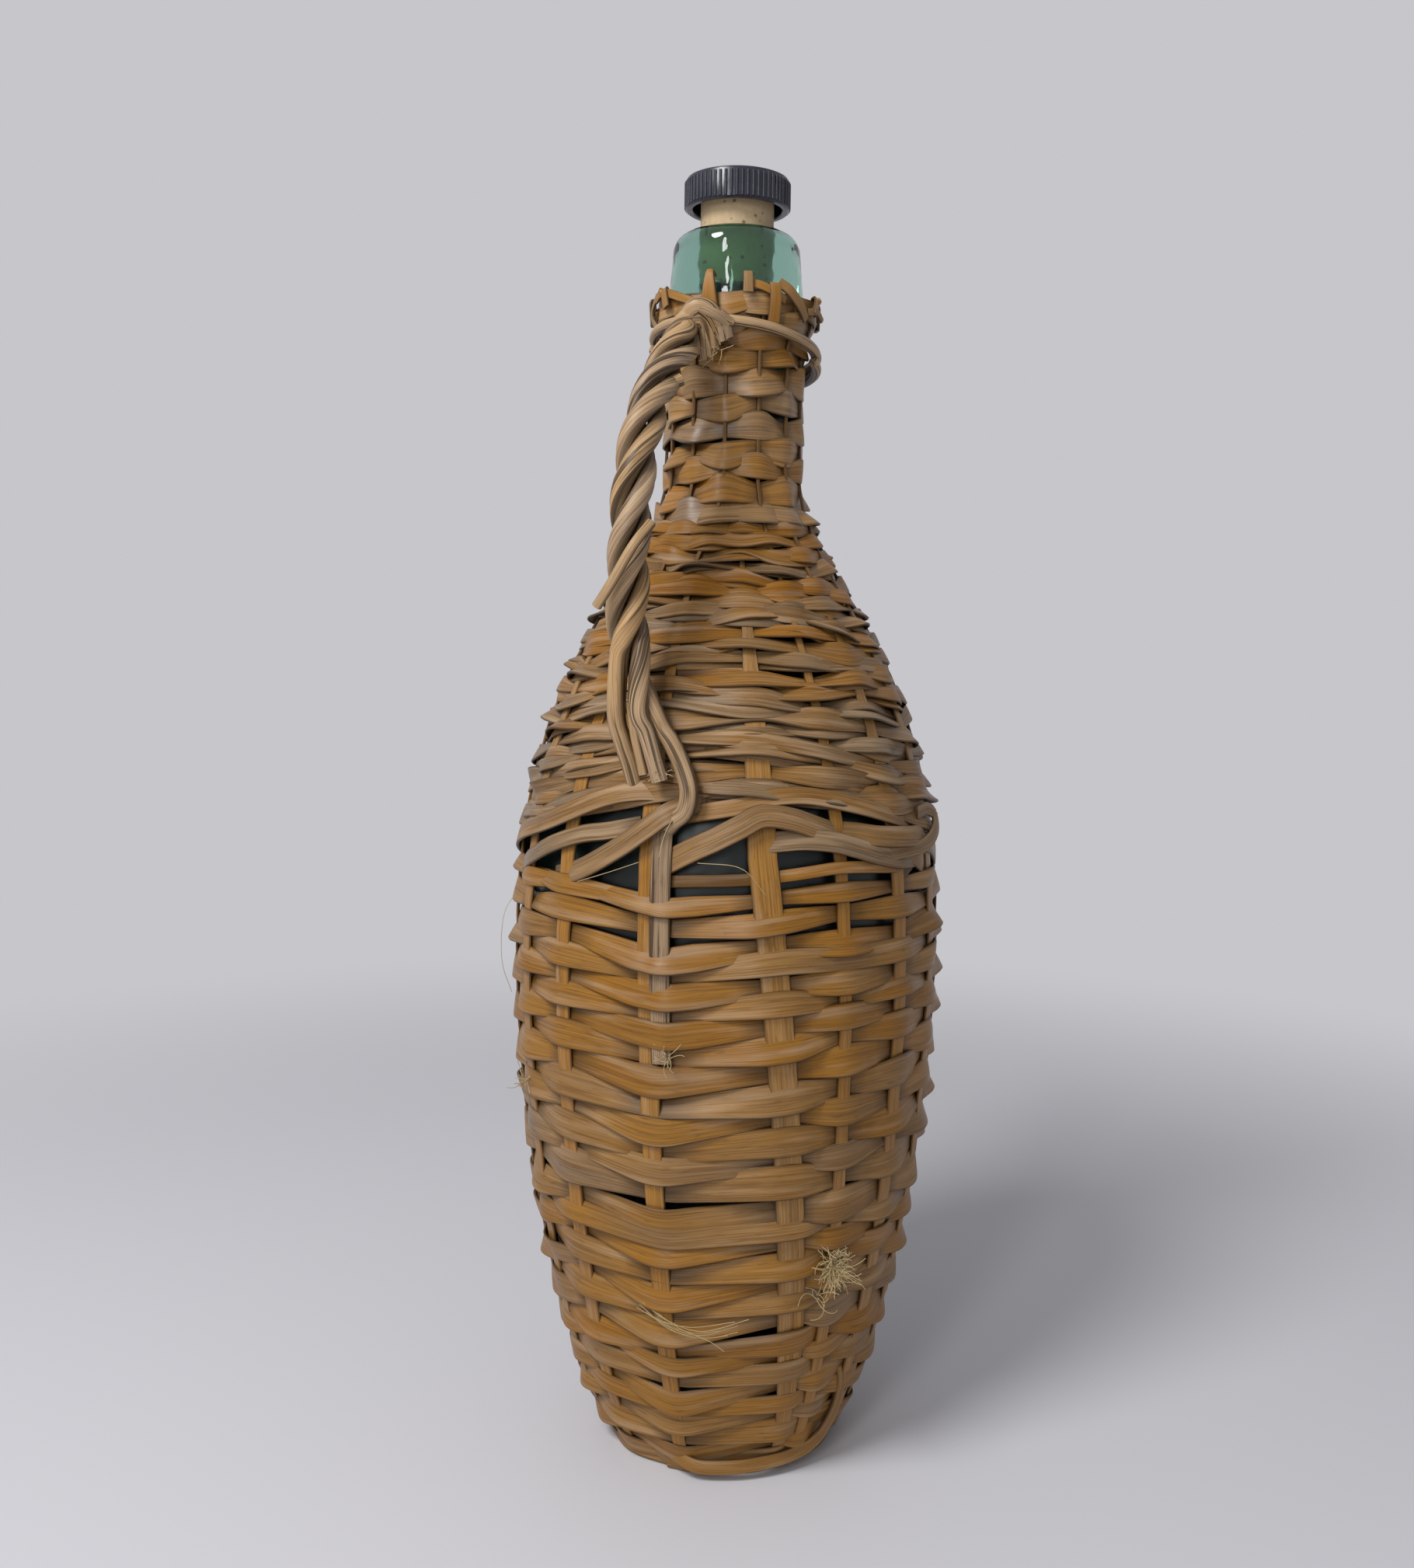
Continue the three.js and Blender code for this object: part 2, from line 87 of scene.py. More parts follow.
class Slot(Enum):
    """Material slots of the record."""

    GREEN_GLASS = "green_glass"
    CORK = "cork"
    BLACK_PLASTIC = "black_plastic"
    STAKE_CANE = "stake_cane"
    WOVEN_CANE = "woven_cane"
    HANDLE_CANE = "handle_cane"


@dataclass(frozen=True)
class SectionShape:
    """Cross-section of a cane: a round one squared off, bowed outwards and grooved."""

    points: int
    squareness: float
    crown: float = 0.0
    grooves: int = 0
    groove_depth: float = 0.0


class Section(Enum):
    """Kinds of cane by their cross-section."""

    FLAT = SectionShape(points=16, squareness=0.12, crown=0.18)
    ROUND = SectionShape(points=32, squareness=0.9, grooves=5, groove_depth=0.06)
    FIBRE = SectionShape(points=5, squareness=1.0)


def linear(hex_colour: str) -> tuple[float, float, float, float]:
    """Turn an sRGB hex colour into linear light.

    Args:
        hex_colour: The colour as "#rrggbb".

    Returns:
        Red, green, blue and an alpha of 1.
    """
    shares = [int(hex_colour[i:i + 2], 16) / 255 for i in (1, 3, 5)]
    red, green, blue = (s / 12.92 if s <= 0.04045 else ((s + 0.055) / 1.055) ** 2.4 for s in shares)
    return red, green, blue, 1.0


def add_node(tree: Tree, kind: str, inputs: dict | tuple = (), **settings) -> Node:
    """Add a node with its settings and links.

    Args:
        tree: Tree that gets the node.
        kind: Blender's name of the node type.
        inputs: Values, sockets, or nodes whose first output is meant, in order or by name or number.
        settings: Properties of the node.

    Returns:
        The new node.
    """
    node = tree.nodes.new(kind)
    for name, value in settings.items():
        setattr(node, name, value)
    for key, value in inputs.items() if isinstance(inputs, dict) else enumerate(inputs):
        source = value.outputs[0] if isinstance(value, Node) else value
        if isinstance(source, Socket):
            tree.links.new(source, node.inputs[key])
        else:
            node.inputs[key].default_value = source
    return node


def cleared(owner: Material | bpy.types.World) -> Tree:
    """Empty the node tree of a new material or world.

    Args:
        owner: The material or world.

    Returns:
        Its tree.
    """
    owner.use_nodes = True
    owner.node_tree.nodes.clear()
    return owner.node_tree


def shown(name: str, data: bpy.types.ID) -> Object:
    """Put an object into the scene.

    Args:
        name: Name of the object.
        data: Its mesh, camera or light.

    Returns:
        The object.
    """
    made = bpy.data.objects.new(name, data)
    bpy.context.scene.collection.objects.link(made)
    return made


def unit(vectors: np.ndarray) -> np.ndarray:
    """Return each row at a length of one."""
    return vectors / np.maximum(np.linalg.norm(vectors, axis=-1, keepdims=True), 1e-9)


def smoothstep(values: Numbers, low: float, high: float) -> Numbers:
    """Return a smooth step from 0 at low to 1 at high."""
    share = np.clip((values - low) / (high - low), 0.0, 1.0)
    return share * share * (3.0 - 2.0 * share)


def reached_along(points: np.ndarray) -> np.ndarray:
    """Return the distance along a line to each of its points."""
    return np.concatenate([[0.0], np.cumsum(np.linalg.norm(np.diff(points, axis=0), axis=1))])


def rows_at(stations: np.ndarray, reached: np.ndarray, rows: np.ndarray) -> np.ndarray:
    """Return rows interpolated at distances along a line."""
    return np.column_stack([np.interp(stations, reached, column) for column in rows.T])


def resampled(knots: np.ndarray, step: float) -> np.ndarray:
    """Space rows evenly along the line through their first three columns.

    Args:
        knots: One row for each knot: a point, then any values that go with it.
        step: Distance between the new points.

    Returns:
        The rows at even distances, with the other columns interpolated.
    """
    reached = reached_along(knots[:, :3])
    stations = np.linspace(0.0, reached[-1], max(3, math.ceil(reached[-1] / step) + 1))
    return rows_at(stations, reached, knots)


def softened(rows: np.ndarray, rounds: int) -> np.ndarray:
    """Round off the corners of a line, keeping its ends.

    Args:
        rows: One row for each point.
        rounds: How often each point moves towards its neighbours.

    Returns:
        The softened rows.
    """
    soft = rows.copy()
    for _ in range(rounds):
        soft[1:-1] = (soft[:-2] + 2.0 * soft[1:-1] + soft[2:]) / 4.0
    return soft


def curve_through(knots: np.ndarray, step: float) -> np.ndarray:
    """Draw a smooth curve through knots.

    Args:
        knots: One row for each knot: a point, then any values that go with it.
        step: Distance between the points of the curve.

    Returns:
        Rows along the curve at even distances.
    """
    padded = np.vstack([2 * knots[0] - knots[1], knots, 2 * knots[-1] - knots[-2]])
    share = np.linspace(0.0, 1.0, SPAN_STEPS, endpoint=False)[:, None]
    spans = [
        (2 * share**3 - 3 * share**2 + 1) * start
        + (share**3 - 2 * share**2 + share) * (end - before) / 2
        + (3 * share**2 - 2 * share**3) * end
        + (share**3 - share**2) * (after - start) / 2
        for before, start, end, after in zip(padded, padded[1:], padded[2:], padded[3:])
    ]
    return resampled(np.vstack([*spans, knots[-1:]]), step)


def bezier(points: tuple[Pair, ...], count: int) -> np.ndarray:
    """Sample a cubic curve.

    Args:
        points: Start, its pull, the end's pull, and the end, each as radius and height.
        count: Number of points, the end left out.

    Returns:
        Points along the curve.
    """
    start, pull, draw, end = np.array(points, float)
    t = np.linspace(0.0, 1.0, count, endpoint=False)[:, None]
    s = 1.0 - t
    return s**3 * start + 3 * s**2 * t * pull + 3 * s * t**2 * draw + t**3 * end


def around(radius: Numbers, height: Numbers, degrees: Numbers) -> np.ndarray:
    """Place points round the bottle's axis.

    Args:
        radius: Distances from the axis.
        height: Heights above the table.
        degrees: Angles round the bottle.

    Returns:
        The points, one in each row.
    """
    angle = np.radians(degrees)
    columns = np.broadcast_arrays(radius * np.sin(angle), -radius * np.cos(angle), height)
    return np.column_stack([np.atleast_1d(column) for column in columns])


def through_spots(spots: Spots, step: float) -> np.ndarray:
    """Draw a smooth curve through spots, each an angle, a height and a radius."""
    degrees, height, radius = np.array(spots, float).T
    return curve_through(around(radius, height, degrees), step)


@dataclass
class CanePath:
    """Course of one cane: its middle, how its section lies, and the values its finish reads."""

    centre: np.ndarray
    side: np.ndarray
    out: np.ndarray
    tone: np.ndarray
    lift: np.ndarray
    run: np.ndarray

    @classmethod
    def laid(
        cls,
        centre: np.ndarray,
        outward: np.ndarray,
        width: Numbers,
        thickness: float,
        tone: Numbers = 0.5,
        lift: Numbers = 1.0,
        tilt: Numbers = 0.0,
        start: float = 0.0,
    ) -> "CanePath":
        """Lay a cane along points, with its broad face turned outwards.

        Args:
            centre: Points along the middle of the cane.
            outward: The way that the broad face looks, for all points or at each.
            width: Breadth of the cane.
            thickness: Thickness of the cane.
            tone: Colour of the cane, from 0, grey, to 1, deep orange.
            lift: How far each point lies at the surface, from 0, behind a stake, to 1; low lift paints
                shade.
            tilt: Turn of the section about the cane, in degrees.
            start: Place on the stock that the cane was cut from, which moves its grain.

        Returns:
            The course.
        """
        heading = unit(np.gradient(centre, axis=0))
        side = unit(np.cross(np.broadcast_to(outward, centre.shape), heading))
        out = np.cross(heading, side)
        turn, breadth, tones, lifts = (
            np.broadcast_to(values, len(centre)).astype(float) for values in (tilt, width, tone, lift)
        )
        turn = np.radians(turn)[:, None]
        return cls(
            centre=centre,
            side=(side * np.cos(turn) + out * np.sin(turn)) * breadth[:, None] / 2,
            out=(out * np.cos(turn) - side * np.sin(turn)) * thickness / 2,
            tone=tones,
            lift=lifts,
            run=start + reached_along(centre),
        )


def loose_course(spots: Spots, width: float, thickness: float, tone: float, lift: float) -> CanePath:
    """Lay a loose cane, its broad face away from the bottle's axis.

    Args:
        spots: Angle, height and radius along it.
        width: Breadth of the cane.
        thickness: Thickness of the cane.
        tone: Colour of the cane.
        lift: How far it lies at the surface.

    Returns:
        Its course.
    """
    centre = through_spots(spots, LOOSE_STEP)
    return CanePath.laid(centre, unit(centre * [1.0, 1.0, 0.0]), width, thickness, tone, lift)


class NodeMaker:
    """Geometry Nodes tree with named inputs, applied to a start mesh."""

    name: str
    inputs: dict[str, str]  # socket type of each input after the geometry

    def __init__(self) -> None:
        """Build the tree, which ends in real geometry, smooth, in the finish."""
        tree = self.tree = bpy.data.node_groups.new(self.name, "GeometryNodeTree")
        face = tree.interface
        face.new_socket("Geometry", in_out="INPUT", socket_type="NodeSocketGeometry")
        self.sockets = {
            label: face.new_socket(label, in_out="INPUT", socket_type=kind)
            for label, kind in self.inputs.items()
        }
        face.new_socket("Geometry", in_out="OUTPUT", socket_type="NodeSocketGeometry")
        self.given = add_node(tree, "NodeGroupInput").outputs
        smooth = add_node(tree, "GeometryNodeSetShadeSmooth", (self.shape(),))
        real = add_node(tree, "GeometryNodeRealizeInstances", (smooth,))
        inputs = {"Geometry": real, "Material": self.given["Finish"]}
        dressed = add_node(tree, "GeometryNodeSetMaterial", inputs)
        add_node(tree, "NodeGroupOutput", (dressed,))

    def shape(self) -> Node:
        """Return the node of the finished shape, which each maker builds itself."""
        raise NotImplementedError

    def make(self, name: str, start: bpy.types.Mesh, values: dict) -> Object:
        """Run the tree on a start mesh.

        Args:
            name: Name of the piece.
            start: Mesh that the tree begins with.
            values: Value of each input, by name.

        Returns:
            A piece with a plain mesh.
        """
        piece = shown(name, start)
        modifier = piece.modifiers.new("shape", "NODES")
        modifier.node_group = self.tree
        for label, value in values.items():
            modifier[self.sockets[label].identifier] = value
        graph = bpy.context.evaluated_depsgraph_get()
        mesh = bpy.data.meshes.new_from_object(piece.evaluated_get(graph))
        piece.modifiers.clear()
        piece.data = mesh
        bpy.data.meshes.remove(start)
        mesh.name = name
        return piece


class CaneSweep(NodeMaker):
    """Carries a cane's section along guide lines."""

    name = "cane_sweep"
    inputs = {
        "Section points": "NodeSocketInt",
        "Squareness": "NodeSocketFloat",
        "Crown": "NodeSocketFloat",
        "Grooves": "NodeSocketFloat",
        "Groove depth": "NodeSocketFloat",
        "Finish": "NodeSocketMaterial",
    }
    vectors = ("centre", "side", "out")
    shades = ("tone", "lift", "run")
    crisp_angle = 28.0  # past which an edge of a cane is crisp

    def shape(self) -> Node:
        """Sweep a circle along the guides and move its points to the cane's own section.

        Returns:
            Node of the canes.
        """
        tree, given = self.tree, self.given
        line = add_node(tree, "GeometryNodeMeshToCurve", (given["Geometry"],))
        inputs = {"Resolution": given["Section points"], "Radius": 1.0}
        circle = add_node(tree, "GeometryNodeCurvePrimitiveCircle", inputs)
        place = add_node(tree, "GeometryNodeInputPosition")
        inputs = {"Geometry": circle, "Name": "section", "Value": place}
        profile = add_node(tree, "GeometryNodeStoreNamedAttribute", inputs, data_type="FLOAT_VECTOR")
        inputs = {"Curve": line, "Profile Curve": profile, "Fill Caps": True}
        swept = add_node(tree, "GeometryNodeCurveToMesh", inputs)
        read = {
            label: add_node(tree, "GeometryNodeInputNamedAttribute", (label,), data_type="FLOAT_VECTOR")
            for label in ("section", *self.vectors)
        }
        part = add_node(tree, SPLIT, (self.section_point(read["section"]),)).outputs
        square = add_node(tree, MATH, (part["X"], part["X"]), operation="MULTIPLY")
        fall = add_node(tree, MATH, (1.0, square), operation="SUBTRACT")
        bowed = add_node(tree, MATH, (fall, given["Crown"], part["Y"]), operation="MULTIPLY_ADD")
        across = add_node(tree, VECTOR_MATH, {0: read["side"], "Scale": part["X"]}, operation="SCALE")
        through = add_node(tree, VECTOR_MATH, {0: read["out"], "Scale": bowed}, operation="SCALE")
        offset = add_node(tree, VECTOR_MATH, (across, through), operation="ADD")
        point = add_node(tree, VECTOR_MATH, (read["centre"], offset), operation="ADD")
        cane = add_node(tree, "GeometryNodeSetPosition", {"Geometry": swept, "Position": point})
        for label in self.vectors:
            cane = add_node(tree, "GeometryNodeRemoveAttribute", {"Geometry": cane, "Name": label})
        return cane

    def section_point(self, circle: Node) -> Node:
        """Square off and groove the round section.

        Args:
            circle: Node of a point on the unit circle.

        Returns:
            Node of the point on the cane's section.
        """
        tree, given = self.tree, self.given
        size = add_node(tree, VECTOR_MATH, (circle,), operation="ABSOLUTE")
        sign = add_node(tree, VECTOR_MATH, (circle,), operation="SIGN")
        part = add_node(tree, SPLIT, (size,)).outputs
        height = add_node(tree, MATH, (part["Y"], given["Squareness"]), operation="POWER")
        flat = add_node(tree, JOIN, (part["X"], height))
        square = add_node(tree, VECTOR_MATH, (flat, sign), operation="MULTIPLY")
        raw = add_node(tree, SPLIT, (circle,)).outputs
        angle = add_node(tree, MATH, (raw["Y"], raw["X"]), operation="ARCTAN2")
        turns = add_node(tree, MATH, (angle, given["Grooves"]), operation="MULTIPLY")
        wave = add_node(tree, MATH, (turns,), operation="COSINE")
        dip = add_node(tree, MATH, (wave, 0.0), operation="MAXIMUM")
        depth = add_node(tree, MATH, (dip, given["Groove depth"]), operation="MULTIPLY")
        reach = add_node(tree, MATH, (1.0, depth), operation="SUBTRACT")
        return add_node(tree, VECTOR_MATH, {0: square, "Scale": reach}, operation="SCALE")

    def sweep(self, name: str, paths: list[CanePath], section: Section, finish: Material) -> Object:
        """Make canes along their courses, as one piece.

        Args:
            name: Name of the piece.
            paths: Courses of the canes.
            section: Kind of cane.
            finish: Material of the canes.

        Returns:
            The piece.
        """
        starts = np.cumsum([0, *(len(path.centre) for path in paths)])
        first = np.concatenate([np.arange(low, high - 1) for low, high in zip(starts, starts[1:])])
        labels = (*self.vectors, *self.shades)
        joined = {label: np.concatenate([getattr(path, label) for path in paths]) for label in labels}
        guide = bpy.data.meshes.new(f"{name}_guide")
        edges = np.column_stack([first, first + 1])
        guide.from_pydata((joined["centre"] * MM).tolist(), edges.tolist(), [])
        for label in self.vectors:
            stored = guide.attributes.new(label, "FLOAT_VECTOR", "POINT")
            stored.data.foreach_set("vector", (joined[label] * MM).ravel())
        for label in self.shades:
            stored = guide.attributes.new(label, "FLOAT", "POINT")
            stored.data.foreach_set("value", joined[label])
        shape = section.value
        values = {
            "Section points": shape.points,
            "Squareness": shape.squareness,
            "Crown": shape.crown,
            "Grooves": float(shape.grooves),
            "Groove depth": shape.groove_depth,
            "Finish": finish,
        }
        piece = self.make(name, guide, values)
        piece.data.set_sharp_from_angle(angle=math.radians(self.crisp_angle))
        return piece


@dataclass(frozen=True)
class Finish:
    """What every finish is: a name and a surface."""

    name: str

    def surface(self, tree: Tree) -> Node:
        """Return the shader, which each finish builds itself."""
        raise NotImplementedError

    def material(self) -> Material:
        """Build the material.

        Returns:
            The material.
        """
        made = bpy.data.materials.new(self.name)
        tree = cleared(made)
        add_node(tree, OUTPUT, (self.surface(tree),))
        return made


@dataclass(frozen=True)
class CaneFinish(Finish):
    """Split rattan cane, its rind worn: long fine grain, honey to grey, satin, with painted shade at its
    edges and behind stakes.
    """

    grey: str = "#8a745d"
    tan: str = "#9d7746"
    honey: str = "#a5742e"
    orange: str = "#a06b22"
    worn: str = "#b49d80"
    dark: str = "#5e3d18"
    # Dark of the cracks, also the colour of the painted shade at the cane's edges and behind stakes
    crack_and_shade: str = "#2e2012"
    half_width: float = 2.5
    fibre_width: float = 0.3  # drawn coarser than real fibres, which are too fine to show
    fibre_length: float = 22.0
    fleck_width: float = 0.5
    fleck_length: float = 5.0
    patch_length: float = 34.0
    crack_width: float = 0.9
    crack_length: float = 45.0
    crack_level: float = 0.57
    crack_edge: float = 0.05
    # Share of each pattern where it is strongest
    streaks: float = 0.62
    flecks: float = 0.45
    wear: float = 0.42
    cracks: float = 0.12
    # Painted shade: darkening along the sides and the underside of each cane
    edges: float = 0.85
    # Painted shade: darkening where a cane's lift is low, behind the stakes
    recess_shade: float = 0.7
    drift: float = 0.2
    drift_span: Pair = (0.3, 0.7)
    rough_span: Pair = (0.35, 0.7)
    roughness: Pair = (0.3, 0.52)
    bump: float = 0.35
    grain_depth: float = 0.25
    gloss: float = 0.3
    refraction: float = 1.46

    def surface(self, tree: Tree) -> Node:
        """Build the shader, which reads a cane's tone, lift, run and section.

        Args:
            tree: Tree of the material.

        Returns:
            The shader.
        """
        read = {
            label: add_node(tree, "ShaderNodeAttribute", attribute_name=label).outputs
            for label in ("tone", "lift", "run", "section")
        }
        # Length and width of a feature, and how finely it is broken up
        patterns = (
            (self.fibre_length, self.fibre_width, 4.0),
            (self.fleck_length, self.fleck_width, 2.0),
            (self.crack_length, self.crack_width, 1.0),
            (self.patch_length, self.half_width, 4.0),
        )
        noises = []
        for length, width, detail in patterns:
            place = self.stretched(tree, read, length, self.half_width / width)
            noises.append(add_node(tree, NOISE, {"Vector": place, "Scale": 1.0, "Detail": detail}))
        grain, fleck, split, patch = noises
        drift = add_node(tree, MAP_RANGE, (patch, *self.drift_span, -self.drift, self.drift))
        tone = add_node(tree, MATH, (read["tone"]["Fac"], drift), operation="ADD")
        stock = add_node(tree, "ShaderNodeValToRGB", (tone,))
        steps = ((0.0, self.grey), (0.4, self.tan), (0.7, self.honey), (1.0, self.orange))
        ramp = stock.color_ramp.elements
        for place, _ in steps[1:-1]:
            ramp.new(place)
        for element, (place, colour) in zip(ramp, steps):
            element.position = place
            element.color = linear(colour)
        part = add_node(tree, SPLIT, (read["section"]["Vector"],)).outputs
        # Pattern, the two values that it changes between, its share at each, and its colour
        layers = (
            (grain, 0.4, 0.66, 0.0, self.streaks, self.dark),
            (fleck, 0.6, 0.72, 0.0, self.flecks, self.dark),
            (patch, 0.5, 0.7, 0.0, self.wear, self.worn),
            (split, self.crack_level, self.crack_level + self.crack_edge, 0.0, self.cracks, self.crack_and_shade),
            # Painted shade along the sides and the underside of the cane
            (part["Y"], 0.0, 0.6, self.edges, 0.0, self.crack_and_shade),
            # Painted shade where the cane lies behind a stake
            (read["lift"]["Fac"], -0.05, 0.4, self.recess_shade, 0.0, self.crack_and_shade),
        )
        colour = stock.outputs["Color"]
        for *span, over in layers:
            share = add_node(tree, MAP_RANGE, tuple(span))
            inputs = {0: share, 6: colour, 7: linear(over)}
            colour = add_node(tree, MIX, inputs, data_type="RGBA").outputs[2]
        rough = add_node(tree, MAP_RANGE, (patch, *self.rough_span, *self.roughness))
        inputs = {"Height": grain, "Strength": self.bump, "Distance": self.grain_depth * MM}
        relief = add_node(tree, BUMP, inputs)
        inputs = {
            "Base Color": colour,
            "Roughness": rough,
            "Normal": relief,
            "IOR": self.refraction,
            "Specular IOR Level": self.gloss,
        }
        return add_node(tree, PRINCIPLED, inputs)

    def stretched(self, tree: Tree, read: dict, length: float, across: float) -> Node:
        """Make coordinates for a pattern drawn out along the cane.

        Args:
            tree: Tree of the material.
            read: Outputs of the attribute nodes.
            length: Length of a feature along the cane.
            across: Number of features in half the width.

        Returns:
            Node of the coordinates.
        """
        along = add_node(tree, MATH, (read["run"]["Fac"], 1.0 / length), operation="MULTIPLY")
        inputs = {0: read["section"]["Vector"], "Scale": across}
        wide = add_node(tree, VECTOR_MATH, inputs, operation="SCALE")
        part = add_node(tree, SPLIT, (wide,)).outputs
        return add_node(tree, JOIN, (along, part["X"], part["Y"]))


@dataclass(frozen=True)
class GlassFinish(Finish):
    """Blown soda-lime glass, sea green: clear and glossy, with slow waves in its surface, and a painted
    shade tint below the band.
    """

    name: str = "sea_green_bottle_glass"
    thin: str = "#98c6b4"
    # Painted shade: a darker tint of the glass below the neck band, where the jacket covers it
    shaded_tint: str = "#3f655b"
    fully_shaded_below: float = 285.0
    thin_above: float = 302.0
    roughness: Pair = (0.38, 0.03)  # where the jacket covers it, and where it is bare
    wave_size: float = 6.0
    wave_depth: float = 0.8
    bump: float = 0.5
    refraction: float = 1.5

    def surface(self, tree: Tree) -> Node:
        """Build the shader.

        Args:
            tree: Tree of the material.

        Returns:
            The shader.
        """
        place = add_node(tree, COORDINATES).outputs["Object"]
        inputs = {"Vector": place, "Scale": 1.0 / (self.wave_size * MM), "Detail": 1.0}
        wave = add_node(tree, NOISE, inputs)
        height = add_node(tree, SPLIT, (place,)).outputs["Z"]
        ends = (self.fully_shaded_below * MM, self.thin_above * MM)
        thin = add_node(tree, MAP_RANGE, (height, *ends))
        rough = add_node(tree, MAP_RANGE, (height, *ends, *self.roughness))
        inputs = {0: thin, 6: linear(self.shaded_tint), 7: linear(self.thin)}
        colour = add_node(tree, MIX, inputs, data_type="RGBA").outputs[2]
        inputs = {"Height": wave, "Strength": self.bump, "Distance": self.wave_depth * MM}
        relief = add_node(tree, BUMP, inputs)
        inputs = {
            "Base Color": colour,
            "Roughness": rough,
            "IOR": self.refraction,
            "Transmission Weight": 1.0,
            "Normal": relief,
        }
        return add_node(tree, PRINCIPLED, inputs)


@dataclass(frozen=True)
class CorkFinish(Finish):
    """Natural cork, punched and sanded: matt, with dark pits and a fine crumb."""

    name: str = "natural_cork"
    body: str = "#cfb792"
    crumb: str = "#b59c78"
    pit: str = "#5c3f26"
    crumb_size: float = 1.2
    crumb_depth: float = 0.3
    pit_size: float = 3.0
    pit_span: Pair = (0.1, 0.22)  # from the middle of a pit, as a share of its size
    pits: float = 0.8
    bump: float = 0.4
    roughness: float = 0.85

    def surface(self, tree: Tree) -> Node:
        """Build the shader.

        Args:
            tree: Tree of the material.

        Returns:
            The shader.
        """
        place = add_node(tree, COORDINATES).outputs["Object"]
        inputs = {"Vector": place, "Scale": 1.0 / (self.crumb_size * MM), "Detail": 3.0}
        crumb = add_node(tree, NOISE, inputs)
        inputs = {"Vector": place, "Scale": 1.0 / (self.pit_size * MM)}
        cells = add_node(tree, "ShaderNodeTexVoronoi", inputs).outputs["Distance"]
        pit = add_node(tree, MAP_RANGE, (cells, *self.pit_span, self.pits, 0.0))
        colour = linear(self.body)
        for share, over in ((crumb, self.crumb), (pit, self.pit)):
            inputs = {0: share, 6: colour, 7: linear(over)}
            colour = add_node(tree, MIX, inputs, data_type="RGBA").outputs[2]
        inputs = {"Height": crumb, "Strength": self.bump, "Distance": self.crumb_depth * MM}
        relief = add_node(tree, BUMP, inputs)
        inputs = {"Base Color": colour, "Roughness": self.roughness, "Normal": relief}
        return add_node(tree, PRINCIPLED, inputs)


@dataclass(frozen=True)
class PlasticFinish(Finish):
    """Moulded polypropylene, black: a soft gloss that handling has dulled in patches."""

    name: str = "black_polypropylene"
    body: str = "#1c1d26"
    scuffed: str = "#30323d"
    scuff_size: float = 5.0
    scuff_span: Pair = (0.3, 0.7)
    roughness: Pair = (0.16, 0.34)
    refraction: float = 1.49

    def surface(self, tree: Tree) -> Node:
        """Build the shader.

        Args:
            tree: Tree of the material.

        Returns:
            The shader.
        """
        place = add_node(tree, COORDINATES).outputs["Object"]
        inputs = {"Vector": place, "Scale": 1.0 / (self.scuff_size * MM), "Detail": 5.0}
        scuff = add_node(tree, NOISE, inputs)
        inputs = {0: scuff, 6: linear(self.body), 7: linear(self.scuffed)}
        colour = add_node(tree, MIX, inputs, data_type="RGBA").outputs[2]
        rough = add_node(tree, MAP_RANGE, (scuff, *self.scuff_span, *self.roughness))
        inputs = {"Base Color": colour, "Roughness": rough, "IOR": self.refraction}
        return add_node(tree, PRINCIPLED, inputs)


